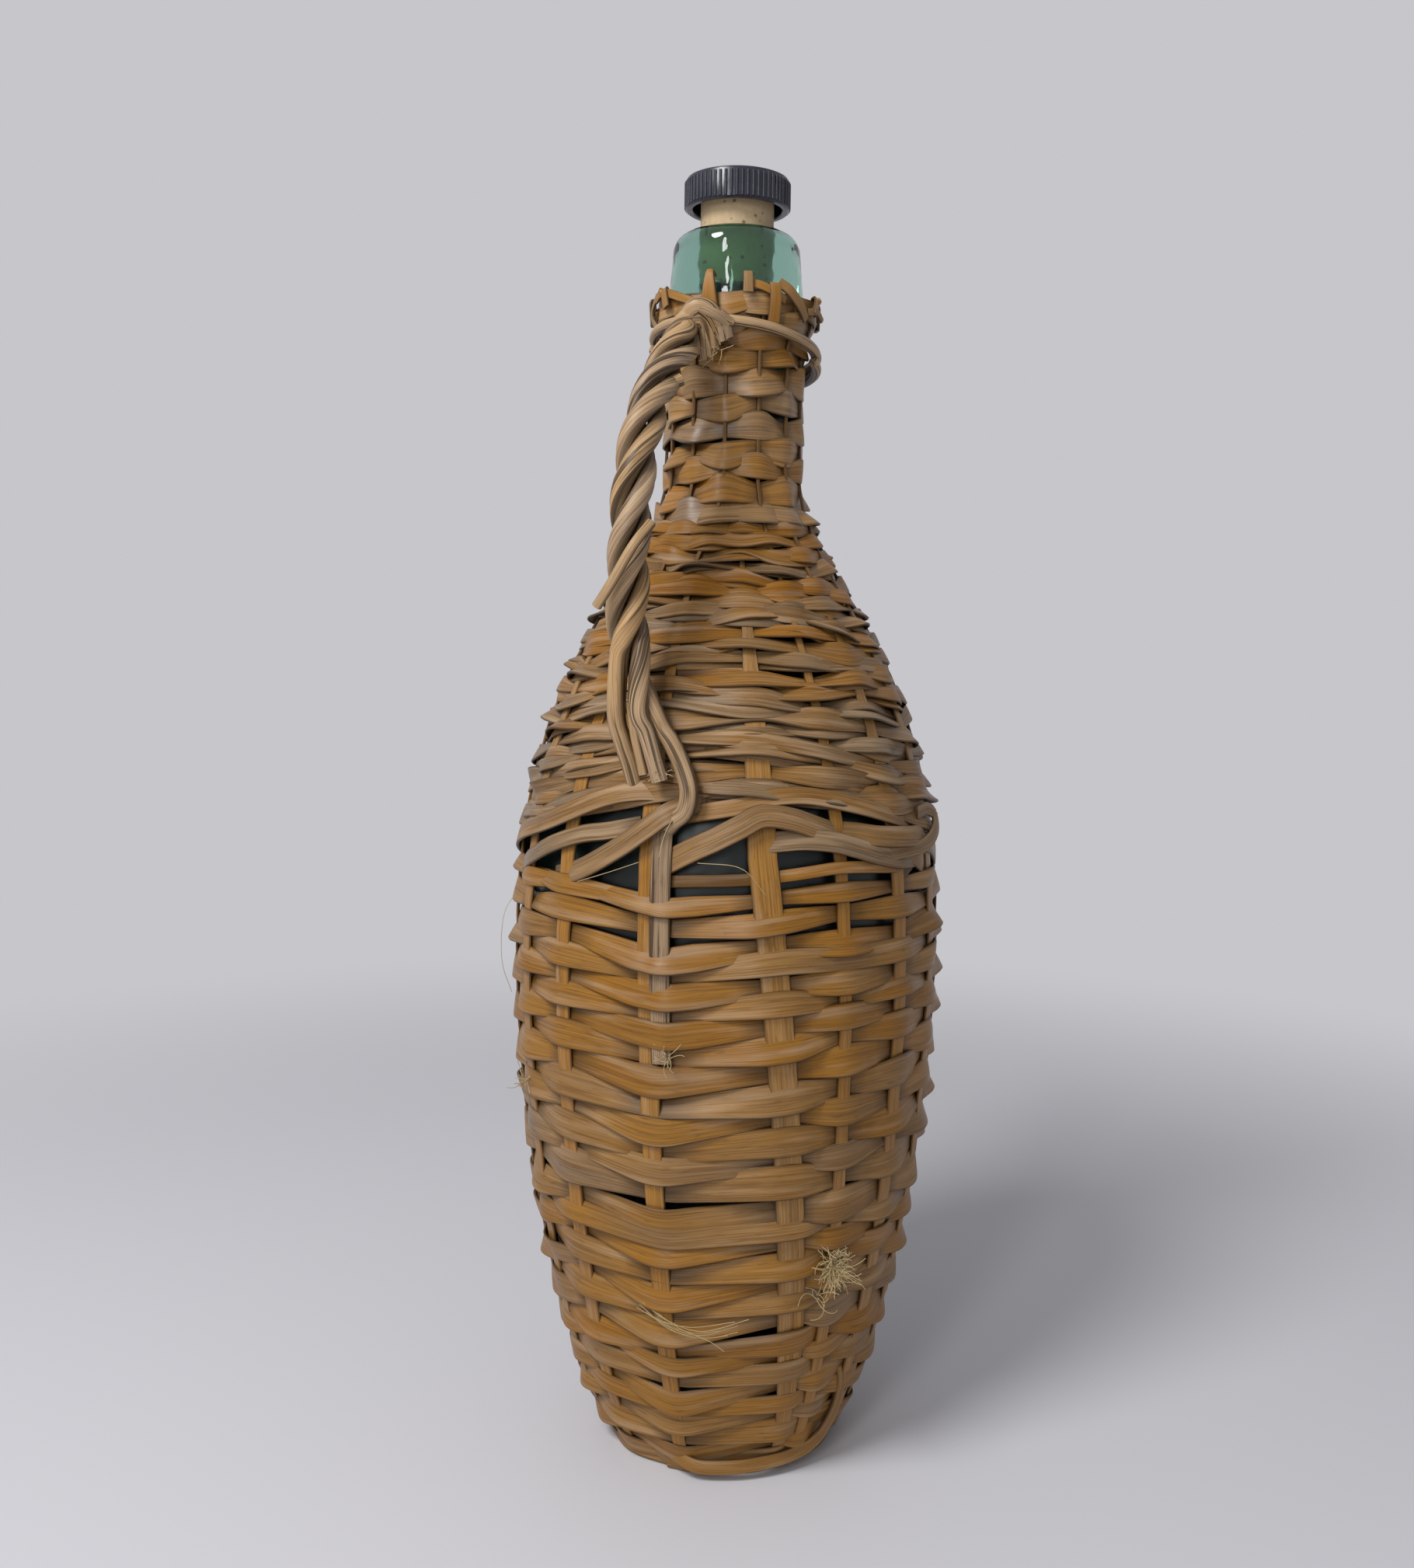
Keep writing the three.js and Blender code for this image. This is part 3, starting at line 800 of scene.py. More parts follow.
@dataclass
class Outline:
    """Outside of the glass from the heel to the lip, on which every cane is laid."""

    foot_radius: float = 28.0
    foot_height: float = 3.5
    heel_reach: float = 14.0
    heel_rise: float = 20.0
    belly_radius: float = 53.4
    belly_height: float = 132.0
    belly_pull: float = 47.0
    shoulder_pull: float = 80.0
    shoulder_rise: float = 123.0
    neck_pull: float = 31.0
    neck_radius: float = 15.4
    neck_length: float = 29.0
    flare_rise: float = 16.0
    band_radius: float = 18.4
    band_length: float = 20.0
    band_taper: float = 1.1
    lip_round: float = 5.4
    steps: int = 300  # points in each stretch

    def __post_init__(self) -> None:
        """Sample the curve and measure along it."""
        foot, belly, pull = self.foot_height, self.belly_height, self.flare_rise / 2
        body, neck, band = self.belly_radius, self.neck_radius, self.band_radius
        self.neck_foot = belly + self.shoulder_rise
        self.neck_top = self.neck_foot + self.neck_length
        self.band_foot = self.neck_top + self.flare_rise
        self.lip_height = self.band_foot + self.band_length
        self.lip_radius = band - self.band_taper
        heel = (
            (self.foot_radius, foot),
            (self.foot_radius + self.heel_reach, foot + self.heel_rise),
            (body, belly - self.belly_pull),
            (body, belly),
        )
        shoulder = (
            (body, belly),
            (body, belly + self.shoulder_pull),
            (neck, self.neck_foot - self.neck_pull),
            (neck, self.neck_foot),
        )
        flare = (
            (neck, self.neck_top),
            (neck, self.neck_top + pull),
            (band, self.band_foot - pull),
            (band, self.band_foot),
        )
        lip = (self.lip_radius, self.lip_height - self.lip_round)
        self.points = np.vstack([
            bezier(heel, self.steps),
            bezier(shoulder, self.steps),
            np.linspace(shoulder[-1], flare[0], self.steps, endpoint=False),
            bezier(flare, self.steps),
            np.linspace(flare[-1], lip, self.steps),
        ])
        self.reached = reached_along(self.points)
        self.tangents = unit(np.gradient(self.points, self.reached, axis=0))

    def along_at(self, height: Numbers) -> Numbers:
        """Return the length along the outline at a height."""
        return np.interp(height, self.points[:, 1], self.reached)

    def tangent(self, along: np.ndarray) -> np.ndarray:
        """Return the heading of the outline, as radius and height."""
        return unit(rows_at(along, self.reached, self.tangents))

    def place(self, along: Numbers, offset: Numbers = 0.0) -> np.ndarray:
        """Find points off the outline.

        Args:
            along: Lengths along the outline. Past its ends it goes straight on.
            offset: Distances out from the glass.

        Returns:
            Radius and height of each point.
        """
        lengths, offsets = np.broadcast_arrays(np.atleast_1d(np.asarray(along, float)), offset)
        inside = np.clip(lengths, 0.0, self.reached[-1])
        heading = self.tangent(inside)
        point = rows_at(inside, self.reached, self.points)
        normal = np.column_stack([heading[:, 1], -heading[:, 0]])
        return point + normal * offsets[:, None] + heading * (lengths - inside)[:, None]

    def point(self, along: Numbers, offset: Numbers, degrees: Numbers) -> np.ndarray:
        """Return the points at lengths along, distances out and angles round, one in each row."""
        return around(*self.place(along, offset).T, degrees)

    def outward(self, along: np.ndarray, degrees: np.ndarray) -> np.ndarray:
        """Return the way out of the glass at places round the bottle."""
        heading = self.tangent(np.clip(along, 0.0, self.reached[-1]))
        return around(heading[:, 1], -heading[:, 0], degrees)


def turned(name: str, profile: np.ndarray, sides: int, finish: Material, sharp: float) -> Object:
    """Turn a profile about the bottle's axis.

    Args:
        name: Name of the piece.
        profile: Radius and height of each point, from the axis round to the axis, outside first.
        sides: Number of sides.
        finish: Material of the piece.
        sharp: Angle past which an edge is crisp.

    Returns:
        The piece.
    """
    points, rings, faces = [], [], []
    angles = np.linspace(0.0, 360.0, sides, endpoint=False)
    for radius, height in profile:
        first = len(points)
        if radius < 1e-6:
            points.append((0.0, 0.0, height * MM))
            rings.append([first] * sides)
        else:
            points.extend((around(radius, height, angles) * MM).tolist())
            rings.append(list(range(first, first + sides)))
    for low, high in zip(rings, rings[1:]):
        for i in range(sides):
            j = (i + 1) % sides
            faces.append(tuple(dict.fromkeys([low[i], low[j], high[j], high[i]])))
    mesh = bpy.data.meshes.new(name)
    mesh.from_pydata(points, [], faces)
    mesh.materials.append(finish)
    mesh.shade_smooth()
    mesh.set_sharp_from_angle(angle=math.radians(sharp))
    return shown(name, mesh)


def settle(piece: Object, body: Body, slot: Slot, *nodes: str) -> None:
    """Put a finished piece on its body.

    Args:
        piece: The piece.
        body: Body that it rides on.
        slot: Material slot that its finish belongs to; not used.
        nodes: Nodes of the solid model that it stands for.
    """
    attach(piece, body.value)
    if nodes:
        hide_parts(*nodes)
    LOG.info("%s: %d faces on %s", piece.name, len(piece.data.polygons), body.value)


@dataclass
class GlassBottle:
    """The bottle itself: one turned shell of glass."""

    outline: Outline
    wall: float = 3.4
    floor_thickness: float = 4.0
    floor_round: float = 2.0
    floor_clear: float = 1.0  # least height of the wall's lowest point above the floor
    bore_radius: float = 10.1
    bore_length: float = 30.0
    mouth_round: float = 1.2
    sides: int = 128
    outside_steps: int = 130
    lip_steps: int = 12
    inside_steps: int = 90
    crisp_angle: float = 50.0

    def build(self) -> Object:
        """Turn the shell.

        Returns:
            The glass.
        """
        line, bore, bevel = self.outline, self.bore_radius, self.mouth_round
        top, turn = line.lip_height, line.lip_round
        outside = line.place(np.linspace(0.0, line.reached[-1], self.outside_steps))
        bend = np.radians(np.linspace(0.0, 90.0, self.lip_steps))[1:]
        lip = np.column_stack([
            line.lip_radius - turn + turn * np.cos(bend),
            top - turn + turn * np.sin(bend),
        ])
        bore_foot = top - self.bore_length
        mouth = [
            (bore + bevel, top),
            (bore + BEVEL_SHARE * bevel, top - BEVEL_SHARE * bevel),
            (bore, top - bevel),
            (bore, bore_foot),
        ]
        inside = line.place(np.linspace(line.along_at(line.neck_top), 0.0, self.inside_steps), -self.wall)
        floor = line.foot_height + self.floor_thickness
        low, high = floor + self.floor_clear, bore_foot - self.wall
        kept = inside[(inside[:, 1] > low) & (inside[:, 1] < high)]
        bottom = [(kept[-1][0] - self.floor_round, floor), (0.0, floor)]
        profile = np.vstack([[(0.0, line.foot_height)], outside, lip, mouth, kept, bottom])
        finish = GlassFinish().material()
        return turned("green_glass_bottle", profile, self.sides, finish, self.crisp_angle)

    def dress(self) -> None:
        """Build the glass and put it in its node's place."""
        settle(self.build(), Body.BOTTLE, Slot.GREEN_GLASS, "glass_bottle")


class RibRing(NodeMaker):
    """Sets upright ribs round a ring."""

    name = "rib_ring"
    inputs = {
        "Ribs": "NodeSocketInt",
        "Ring radius": "NodeSocketFloat",
        "Middle height": "NodeSocketFloat",
        "Rib radius": "NodeSocketFloat",
        "Rib height": "NodeSocketFloat",
        "Finish": "NodeSocketMaterial",
    }
    rib_sides = 8

    def shape(self) -> Node:
        """Set a rib on each point of a raised circle.

        Returns:
            Node of the ribs.
        """
        tree, given = self.tree, self.given
        inputs = {"Resolution": given["Ribs"], "Radius": given["Ring radius"]}
        ring = add_node(tree, "GeometryNodeCurvePrimitiveCircle", inputs)
        lift = add_node(tree, JOIN, {"Z": given["Middle height"]})
        raised = add_node(tree, "GeometryNodeSetPosition", {"Geometry": ring, "Offset": lift})
        inputs = {"Vertices": self.rib_sides, "Radius": given["Rib radius"], "Depth": given["Rib height"]}
        rib = add_node(tree, "GeometryNodeMeshCylinder", inputs)
        return add_node(tree, "GeometryNodeInstanceOnPoints", {"Points": raised, "Instance": rib})


@dataclass
class Stopper:
    """Cork with a ribbed head."""

    outline: Outline
    cork_radius: float = 9.95
    cork_length: float = 28.0
    cork_proud: float = 6.6
    cork_bevel: float = 0.6
    seat_gap: float = 0.3
    head_radius: float = 14.5
    head_height: float = 8.5
    head_wall: float = 1.9
    head_top: float = 3.0
    head_bevel: float = 0.9
    inner_bevel: float = 0.3
    outer_bevel: float = 0.4
    dish_rim: float = 2.4
    dish_depth: float = 0.5
    rib_count: int = 60
    rib_radius: float = 0.42
    rib_foot: float = 0.5
    rib_margin: float = 0.8
    sides: int = 96
    crisp_angles: Triple = (30.0, 35.0, 50.0)  # of the cork, the head and the ribs

    def cork(self) -> Object:
        """Turn the cork.

        Returns:
            The cork.
        """
        seat = self.outline.lip_height + self.cork_proud + self.head_height - self.head_top
        top = seat - self.seat_gap
        foot = top - self.cork_length
        radius, bevel = self.cork_radius, self.cork_bevel
        profile = np.array([
            (0.0, foot), (radius - bevel, foot), (radius, foot + bevel), (radius, top), (0.0, top),
        ])
        return turned("cork_plug", profile, self.sides, CorkFinish().material(), self.crisp_angles[0])

    def head(self) -> Object:
        """Turn the head and set its ribs.

        Returns:
            The head with its ribs, as one piece.
        """
        finish = PlasticFinish().material()
        foot = self.outline.lip_height + self.cork_proud
        top = foot + self.head_height
        radius = self.head_radius - self.rib_radius
        recess = radius - self.head_wall
        bevel, inner, outer = self.head_bevel, self.inner_bevel, self.outer_bevel
        dish = radius - self.dish_rim
        profile = np.array([
            (0.0, top - self.head_top),
            (recess, top - self.head_top),
            (recess, foot + inner),
            (recess + inner, foot),
            (radius - outer, foot),
            (radius, foot + outer),
            (radius, top - bevel),
            (radius - BEVEL_SHARE * bevel, top - BEVEL_SHARE * bevel),
            (radius - bevel, top),
            (dish, top),
            (dish - self.dish_depth, top - self.dish_depth),
            (0.0, top - self.dish_depth),
        ])
        head = turned("ribbed_head", profile, self.sides, finish, self.crisp_angles[1])
        rib_height = self.head_height - bevel - self.rib_margin
        values = {
            "Ribs": self.rib_count,
            "Ring radius": radius * MM,
            "Middle height": (foot + self.rib_foot + rib_height / 2) * MM,
            "Rib radius": self.rib_radius * MM,
            "Rib height": rib_height * MM,
            "Finish": finish,
        }
        ribs = RibRing().make("head_ribs", bpy.data.meshes.new("head_ribs_start"), values)
        ribs.data.set_sharp_from_angle(angle=math.radians(self.crisp_angles[2]))
        with bpy.context.temp_override(active_object=head, selected_editable_objects=[head, ribs]):
            bpy.ops.object.join()
        return head

    def dress(self) -> None:
        """Build both pieces and put them in their nodes' places."""
        settle(self.cork(), Body.STOPPER, Slot.CORK, "cork_shank")
        settle(self.head(), Body.STOPPER, Slot.BLACK_PLASTIC, "stopper_head")


@dataclass
class Layers:
    """Distances of the canes' middles from the glass, and their thicknesses."""

    under: float = 2.0
    stake: float = 2.85
    over: float = 3.75
    cane: float = 0.75
    upright: float = 0.85

    def lift(self, offset: np.ndarray) -> np.ndarray:
        """Return how far canes lie at the surface, from 0, behind the stakes, to 1."""
        return np.clip((offset - self.under) / (self.over - self.under), 0.0, 1.0)


@dataclass
class StakeRing:
    """Upright canes that the others are woven round."""

    outline: Outline
    layers: Layers
    count: int = 17
    start: float = 7.7
    neck_count: int = 13
    neck_start: float = 17.4
    tail_push: float = 9.8
    pushed: int = 4
    width: float = 5.0
    foot_width: float = 3.4
    neck_width: float = 1.0
    tail_width: float = 5.2
    tail_overlap: float = 1.8
    tail_reach: float = 48.0
    waist_height: float = 158.0
    collar_cover: float = 5.0
    step: float = 1.5
    sway: float = 0.1
    tone: float = 0.7
    tone_spread: float = 0.12
    tone_wave: float = 0.1
    tone_length: float = 23.0
    body_lift: float = 0.75
    # Painted shade: how far the stakes' lift falls up the neck, which darkens them there
    neck_shade: float = 0.7
    seed: int = 500
    # Number of each stake that is wider or thinner than the rest, and its share of their width
    odd_widths: tuple[tuple[int, float], ...] = ((1, 1.45), (2, 0.72))
    # Number of each stake that isn't plumb, and its turn at the foot, the waist and the shoulder
    leans: tuple[tuple[int, Triple], ...] = (
        (0, (1, -2.7, -2.7)), (1, (13, -5, -9)), (2, (3, -3, -9)), (3, (2, -2, -8)),
        (4, (1, -1, -4)), (14, (-3, -3, 0)), (15, (-5, -5, 0)), (16, (-6, -7, 0)),
    )

    def __post_init__(self) -> None:
        """Find where the parts of the jacket begin and end."""
        line = self.outline
        self.waist = line.along_at(self.waist_height)
        self.shoulder_end = line.along_at(line.neck_foot - line.neck_pull / 2)
        self.jacket_end = line.along_at(line.band_foot + self.collar_cover)

    def neck_place(self, stake: int) -> int:
        """Return a stake's place among those of the neck."""
        return stake * self.neck_count // self.count

    def reaches_neck(self, stake: int) -> bool:
        """Tell whether a stake goes on up the neck."""
        return stake == 0 or self.neck_place(stake) != self.neck_place(stake - 1)

    def angle(self, stake: int, along: Numbers) -> Numbers:
        """Find the angle of a stake.

        Args:
            stake: Number of the stake.
            along: Lengths along the outline.

        Returns:
            Angles in degrees.
        """
        push = self.tail_push * (1 - (stake - 1) / self.pushed) if 1 <= stake <= self.pushed else 0.0
        heights = (0.0, self.waist, self.shoulder_end)
        lean = np.interp(along, heights, dict(self.leans).get(stake, (0.0, 0.0, 0.0)))
        body = self.start + stake * 360 / self.count + push + lean
        if not self.reaches_neck(stake):
            return body
        neck = self.neck_start + self.neck_place(stake) * 360 / self.neck_count
        reach = self.outline.neck_pull / 2
        low, high = self.shoulder_end - reach, self.shoulder_end + reach
        return body + (neck - body) * smoothstep(along, low, high)

    def breadth(self, stake: int, along: Numbers) -> Numbers:
        """Find the width of a stake.

        Args:
            stake: Number of the stake.
            along: Lengths along the outline.

        Returns:
            Widths.
        """
        belly = dict(self.odd_widths).get(stake, 1.0) * self.width
        grown = smoothstep(along, 0.0, self.outline.belly_pull)
        foot = self.foot_width + (belly - self.foot_width) * grown
        return foot + (self.neck_width - foot) * smoothstep(along, self.waist, self.shoulder_end)

    def tail_angle(self, along: Numbers) -> Numbers:
        """Find the angle of the tail beside the first stake.

        Args:
            along: Lengths along the outline.

        Returns:
            Angles in degrees.
        """
        sideways = (self.breadth(0, along) + self.tail_width) / 2 - self.tail_overlap
        radius = self.outline.place(along, self.layers.stake)[:, 0]
        angle = self.angle(0, along) + np.degrees(sideways / radius)
        return angle if np.ndim(along) else float(angle[0])

    def course(self, stake: int, end: float, pitch: float) -> CanePath:
        """Lay one stake.

        Args:
            stake: Number of the stake.
            end: Length along the outline at which it stops.
            pitch: Distance between the rows that press on it.

        Returns:
            Its course.
        """
        line, layers = self.outline, self.layers
        along = np.linspace(0.0, end, math.ceil(end / self.step))
        degrees = self.angle(stake, along)
        chance = np.random.default_rng(self.seed + stake)
        offset = layers.stake + self.sway * np.cos(math.pi * (along / pitch + stake))
        tone = chance.normal(self.tone, self.tone_spread)
        tone = tone + self.tone_wave * np.sin(along / self.tone_length + stake)
        return CanePath.laid(
            line.point(along, offset, degrees),
            line.outward(along, degrees),
            self.breadth(stake, along),
            layers.upright,
            np.clip(tone, 0.0, 1.0),
            # The falling lift paints shade on the stakes up the neck
            self.body_lift - self.neck_shade * smoothstep(along, self.waist, self.shoulder_end),
            start=chance.uniform(0.0, STOCK),
        )


@dataclass
class FrontLift:
    """How far the upper half of the jacket is drawn up at the front."""

    height: float = 12.0
    angle: float = 23.0
    sharpness: int = 3

    def at(self, degrees: Numbers) -> Numbers:
        """Return the rise at an angle."""
        return self.height * ((1 + np.cos(np.radians(degrees - self.angle))) / 2) ** self.sharpness


@dataclass
class WovenZone:
    """Canes that follow on from each other in a spiral, over and under the stakes."""

    name: str
    node: str
    ring: StakeRing
    stakes: list[int]
    canes: int
    start: float
    end: float
    pitch: float
    seed: int
    cover: float  # width of a row, as a share of its pitch
    swell: float  # how much wider a cane is over a stake than behind it
    uneven: float
    wander: float
    wave: float
    lean: float
    tone: float
    skips: float = 0.0  # share of the stakes that a cane passes over out of turn
    plies: int = 1
    ply_gap: float = 0.0
    ply_lift: float = 0.0
    ply_width: float = 1.0
    ply_turns: float = 3.3
    bulge: float = 0.9
    dip: float = 0.0
    dip_angle: float = 11.0
    dip_reach: float = 28.0
    palest: float = 0.15
    shingle: float = -5.0  # tilt of the rows, which overlap like roof tiles
    tone_spread: float = 0.27
    shade_spread: float = 0.16
    ripening: float = 0.0
    last_tone: float | None = None
    last_share: float = 1.0
    step: float = 1.25
    bend_rounds: int = 5
    beside_tail: bool = True
    wide_rows: tuple[int, ...] = ()
    wide_share: float = 1.4
    front: FrontLift | None = None
    # Share, waves in a turn, drift from row to row, and start of each wave of the rows
    waves: tuple[tuple[float, float, float, float], ...] = ((0.6, 2, 0.55, 0), (0.4, 5, -0.8, 1))

    def __post_init__(self) -> None:
        """Set out the rows, each a little wider or narrower than the next."""
        self.chance = np.random.default_rng(self.seed)
        self.rows = int((self.end - self.start) // self.pitch)
        self.row_ends = np.arange(self.rows + 1)
        self.crossings = 2 * (self.rows * len(self.stakes) // 2)
        pitches = 1.0 + self.uneven * self.chance.uniform(-1.0, 1.0, self.rows)
        for row in self.wide_rows:
            pitches[row] *= self.wide_share
        pitches *= (self.end - self.start) / pitches.sum()
        self.pitches = np.append(pitches, pitches[-1])
        self.pitches[-2:] *= self.last_share
        self.levels = self.start + np.concatenate([[0.0], np.cumsum(pitches)])
        tones = self.chance.normal(self.tone, self.tone_spread, self.rows + 1)
        tones += self.ripening * np.linspace(-1.0, 1.0, self.rows + 1)
        self.row_tones = np.clip(tones, self.palest, 1.0)
        if self.last_tone is not None:
            self.row_tones[-2:] = self.last_tone

    def along(self, turns: Numbers) -> Numbers:
        """Find the length along the outline after a number of turns.

        Args:
            turns: Turns from the start of the zone.

        Returns:
            Lengths along the outline.
        """
        angle = 2 * math.pi * turns
        level = np.interp(turns, self.row_ends, self.levels)
        level = level + self.wave * sum(
            share * np.sin(count * angle + drift * turns + start)
            for share, count, drift, start in self.waves
        )
        apart = np.abs((360.0 * turns - self.dip_angle + 180.0) % 360.0 - 180.0)
        level = level - self.dip * np.maximum(0.0, 1.0 - apart / self.dip_reach)
        if self.front is None:
            return level
        up = np.clip(turns / self.rows, 0.0, 1.0)
        return level + self.front.at(360.0 * turns) * (1.0 - up)

    def last_crossing(self, canes: int) -> int:
        """Return the crossing at which a number of canes end."""
        return 2 * round(self.crossings * canes / self.canes / 2)

    def stations(self, crossing: int) -> Spots:
        """Find the uprights that a cane passes at a crossing.

        Args:
            crossing: Number of the crossing, counted from the start of the zone.

        Returns:
            The angle of each upright, full turns included, its width, and how far it stands out.
        """
        ring = self.ring
        turn, place = divmod(crossing, len(self.stakes))
        stake = self.stakes[place]
        along = self.along(turn + ring.angle(stake, self.start) / 360)
        found = [(360.0 * turn + ring.angle(stake, along), ring.breadth(stake, along), 0.0)]
        if self.beside_tail and stake == 0 and along > ring.waist - ring.tail_reach:
            found.append((360.0 * turn + ring.tail_angle(along), ring.tail_width / 2, self.bulge))
        return tuple(found)

    def course(self, cane: int, ply: int) -> CanePath:
        """Lay one cane, or one of the strips that run side by side in it.

        Args:
            cane: Number of the cane in the zone.
            ply: Number of the strip in the cane.

        Returns:
            Its course.
        """
        beside = ply - (self.plies - 1) / 2
        layers, line, chance = self.ring.layers, self.ring.outline, self.chance
        knots = []
        first, last = self.last_crossing(cane), self.last_crossing(cane + 1)
        closing = len(self.stakes) + 1
        if cane == 0:
            first -= closing
        if cane == self.canes - 1:
            last += closing
        for crossing in range(first, last + 1):
            over = crossing % 2 == 1 or chance.random() < self.skips
            stray = chance.normal(0.0, self.wander)
            lean = self.shingle + chance.normal(0.0, self.lean)
            shade = chance.normal(0.0, self.shade_spread)
            for degrees, width, bulge in self.stations(crossing):
                offset = self.ply_lift * beside + (layers.over + bulge if over else layers.under)
                radius = line.place(self.along(degrees / 360), offset)[0, 0]
                half = math.degrees(width / 2 / radius)
                for angle in (degrees - half, degrees + half):
                    apart = self.ply_gap * beside * math.cos(math.radians(self.ply_turns * angle))
                    along = self.along(angle / 360) + stray + apart
                    point = line.point(along, offset, angle)[0]
                    knots.append([*point, along, offset, angle / 360, lean, shade])
        rows = softened(resampled(np.array(knots), self.step), self.bend_rounds)
        centre, (along, offset, turns, lean, shade) = rows[:, :3], rows[:, 3:].T
        width = self.cover * self.ply_width * np.interp(turns, self.row_ends + 0.5, self.pitches)
        tone = np.interp(turns, self.row_ends, self.row_tones) + shade
        # A low lift, behind a stake, narrows the cane and paints shade on it there
        lift = layers.lift(offset)
        return CanePath.laid(
            centre,
            line.outward(along, 360.0 * turns),
            width * (1.0 + self.swell * (2.0 * lift - 1.0)),
            layers.cane,
            np.clip(tone, 0.0, 1.0),
            lift,
            lean,
            chance.uniform(0.0, STOCK),
        )

    def dress(self, sweep: CaneSweep, finish: Material) -> None:
        """Make the canes and put them in their nodes' places.

        Args:
            sweep: Maker of canes.
            finish: Material of the canes.
        """
        for cane in range(self.canes):
            courses = [self.course(cane, ply) for ply in range(self.plies)]
            piece = sweep.sweep(f"{self.name}_{cane + 1:02d}", courses, Section.FLAT, finish)
            settle(piece, Body.BOTTLE, Slot.WOVEN_CANE, f"{self.node}_{cane + 1:02d}")


@dataclass
class WaistPair:
    """Two broad canes twined round each other and the stakes, where the halves of the jacket meet."""

    ring: StakeRing
    width: float = 5.4
    thickness: float = 0.9
    sway: float = 3.2
    drop: float = 2.5
    stray: float = 0.5
    lean: float = 6.0
    tone: float = 0.28
    tone_wave: float = 0.22
    tone_turns: float = 1.7
    tone_apart: float = 140.0
    stock_apart: float = 300.0
    strip_lean: float = -8.0
    strip_apart: float = 170.0
    step: float = 1.25
    bend_rounds: int = 5
    stakes: tuple[int, int] = (3, 14)
    seed: int = 71
    # Shares of the way to the next stake, and the distance from the glass at the third and the fourth
    shares: tuple[float, ...] = (0, 0.12, 0.6, 0.75, 0.88)
    falls: Pair = (3.4, 2.9)
    rises: Pair = (2.2, 2.5)
    # Width and tone of each strip across the front; angle, height and distance from the glass along it
    strips: Strips = (
        (5.2, 0.35, (
            (-74, 150, 2), (-62, 155, 3.9), (-45, 159.5, 4.5), (-27.6, 163.9, 4.7),
            (-8.6, 170.4, 4.9), (0.8, 172.5, 4.4), (8, 173, 3.2), (16, 174, 2),
        )),
        (4.6, 0.15, (
            (-56, 149.5, 2), (-46, 151.5, 2.8), (-37.5, 154, 3.8), (-26, 158.2, 4.3),
            (-15, 161.5, 4.3), (-7, 163, 3), (2, 165, 2),
        )),
        (5.4, 0.25, (
            (-26, 150.5, 2), (-15, 153.3, 3.4), (-3, 159, 5), (5, 164, 6.2),
            (10, 167.5, 6.2), (15, 170, 3.6), (19, 171, 2),
        )),
        (5.8, 0.3, (
            (5, 153.5, 1.6), (8.9, 156.2, 2.2), (16.3, 159.8, 4), (22, 162.3, 4.8), (27.6, 165, 5.2),
            (33.3, 167.6, 5.3), (40.4, 166.9, 5), (47.7, 164.8, 4), (54, 163, 2.8), (60, 161.5, 2),
        )),
        (5.2, 0.1, (
            (30, 161.5, 2), (37.1, 161.9, 3), (44, 162.2, 4.2), (51.6, 161.4, 4.9), (58, 159.8, 4.9),
            (65.9, 157.6, 4.6), (75, 156, 4), (84, 155.5, 2.6), (90, 155.5, 2),
        )),
        (3, 0.75, (
            (4, 152, 1.5), (14, 152.5, 2), (28, 153.1, 2), (38, 153.9, 2.4), (45, 154.7, 3.8),
            (52.6, 155.4, 4.4), (60, 155.2, 4.4), (69.1, 154.5, 4), (78, 154, 2.2),
        )),
        (5.4, 0.4, (
            (50, 164, 2), (58, 163.4, 3.2), (66, 162, 4.6), (77, 161, 4.9), (87, 160.5, 4.2),
            (97, 160, 2.2),
        )),
        (4.4, 0.5, (
            (10, 167, 2), (13.8, 167.8, 2.4), (21.8, 168.9, 3.4), (28.8, 170, 4), (35.9, 171.8, 4.6),
            (45.8, 172, 4.6), (59.3, 169.5, 4.6), (70, 167, 4.2), (80, 165, 2.6), (88, 164, 2),
        )),
        (3.4, 0.2, (
            (64, 157.5, 4.2), (76, 157.6, 4.8), (86, 158.4, 5.6), (93, 161, 6), (96, 164.5, 5.6),
            (92, 166.5, 4.8), (86, 166, 4.2),
        )),
    )

    def course(self, starts: int) -> CanePath:
        """Lay one of the pair round the sides and the back.

        Args:
            starts: 1 for the one that starts over the first stake, otherwise 0.

        Returns:
            Its course.
        """
        chance = np.random.default_rng(self.seed + starts)
        line, layers, ring = self.ring.outline, self.ring.layers, self.ring
        going_under = (layers.over, layers.over, *self.falls, layers.under)
        going_over = (layers.under, layers.under, *self.rises, layers.over)
        knots = []
        for stake in range(*self.stakes):
            here, there = (ring.angle(place, ring.waist) for place in (stake, stake + 1))
            over = (stake + starts) % 2 == 1
            lean = chance.normal(0.0, self.lean)
            stray = chance.normal(0.0, self.stray)
            for share, offset in zip(self.shares, going_under if over else going_over):
                degrees = here + (there - here) * share
                sway = self.sway * math.cos(math.pi * share) * (1 if over else -1)
                along = ring.waist - self.drop + sway + stray
                knots.append([*line.point(along, offset, degrees)[0], along, offset, degrees, lean])
        rows = softened(resampled(np.array(knots), self.step), self.bend_rounds)
        phase = np.radians(rows[:, 5] * self.tone_turns + self.tone_apart * starts)
        tone = self.tone + self.tone_wave * np.sin(phase)
        return self.laid(rows, self.width, tone, self.stock_apart * starts)

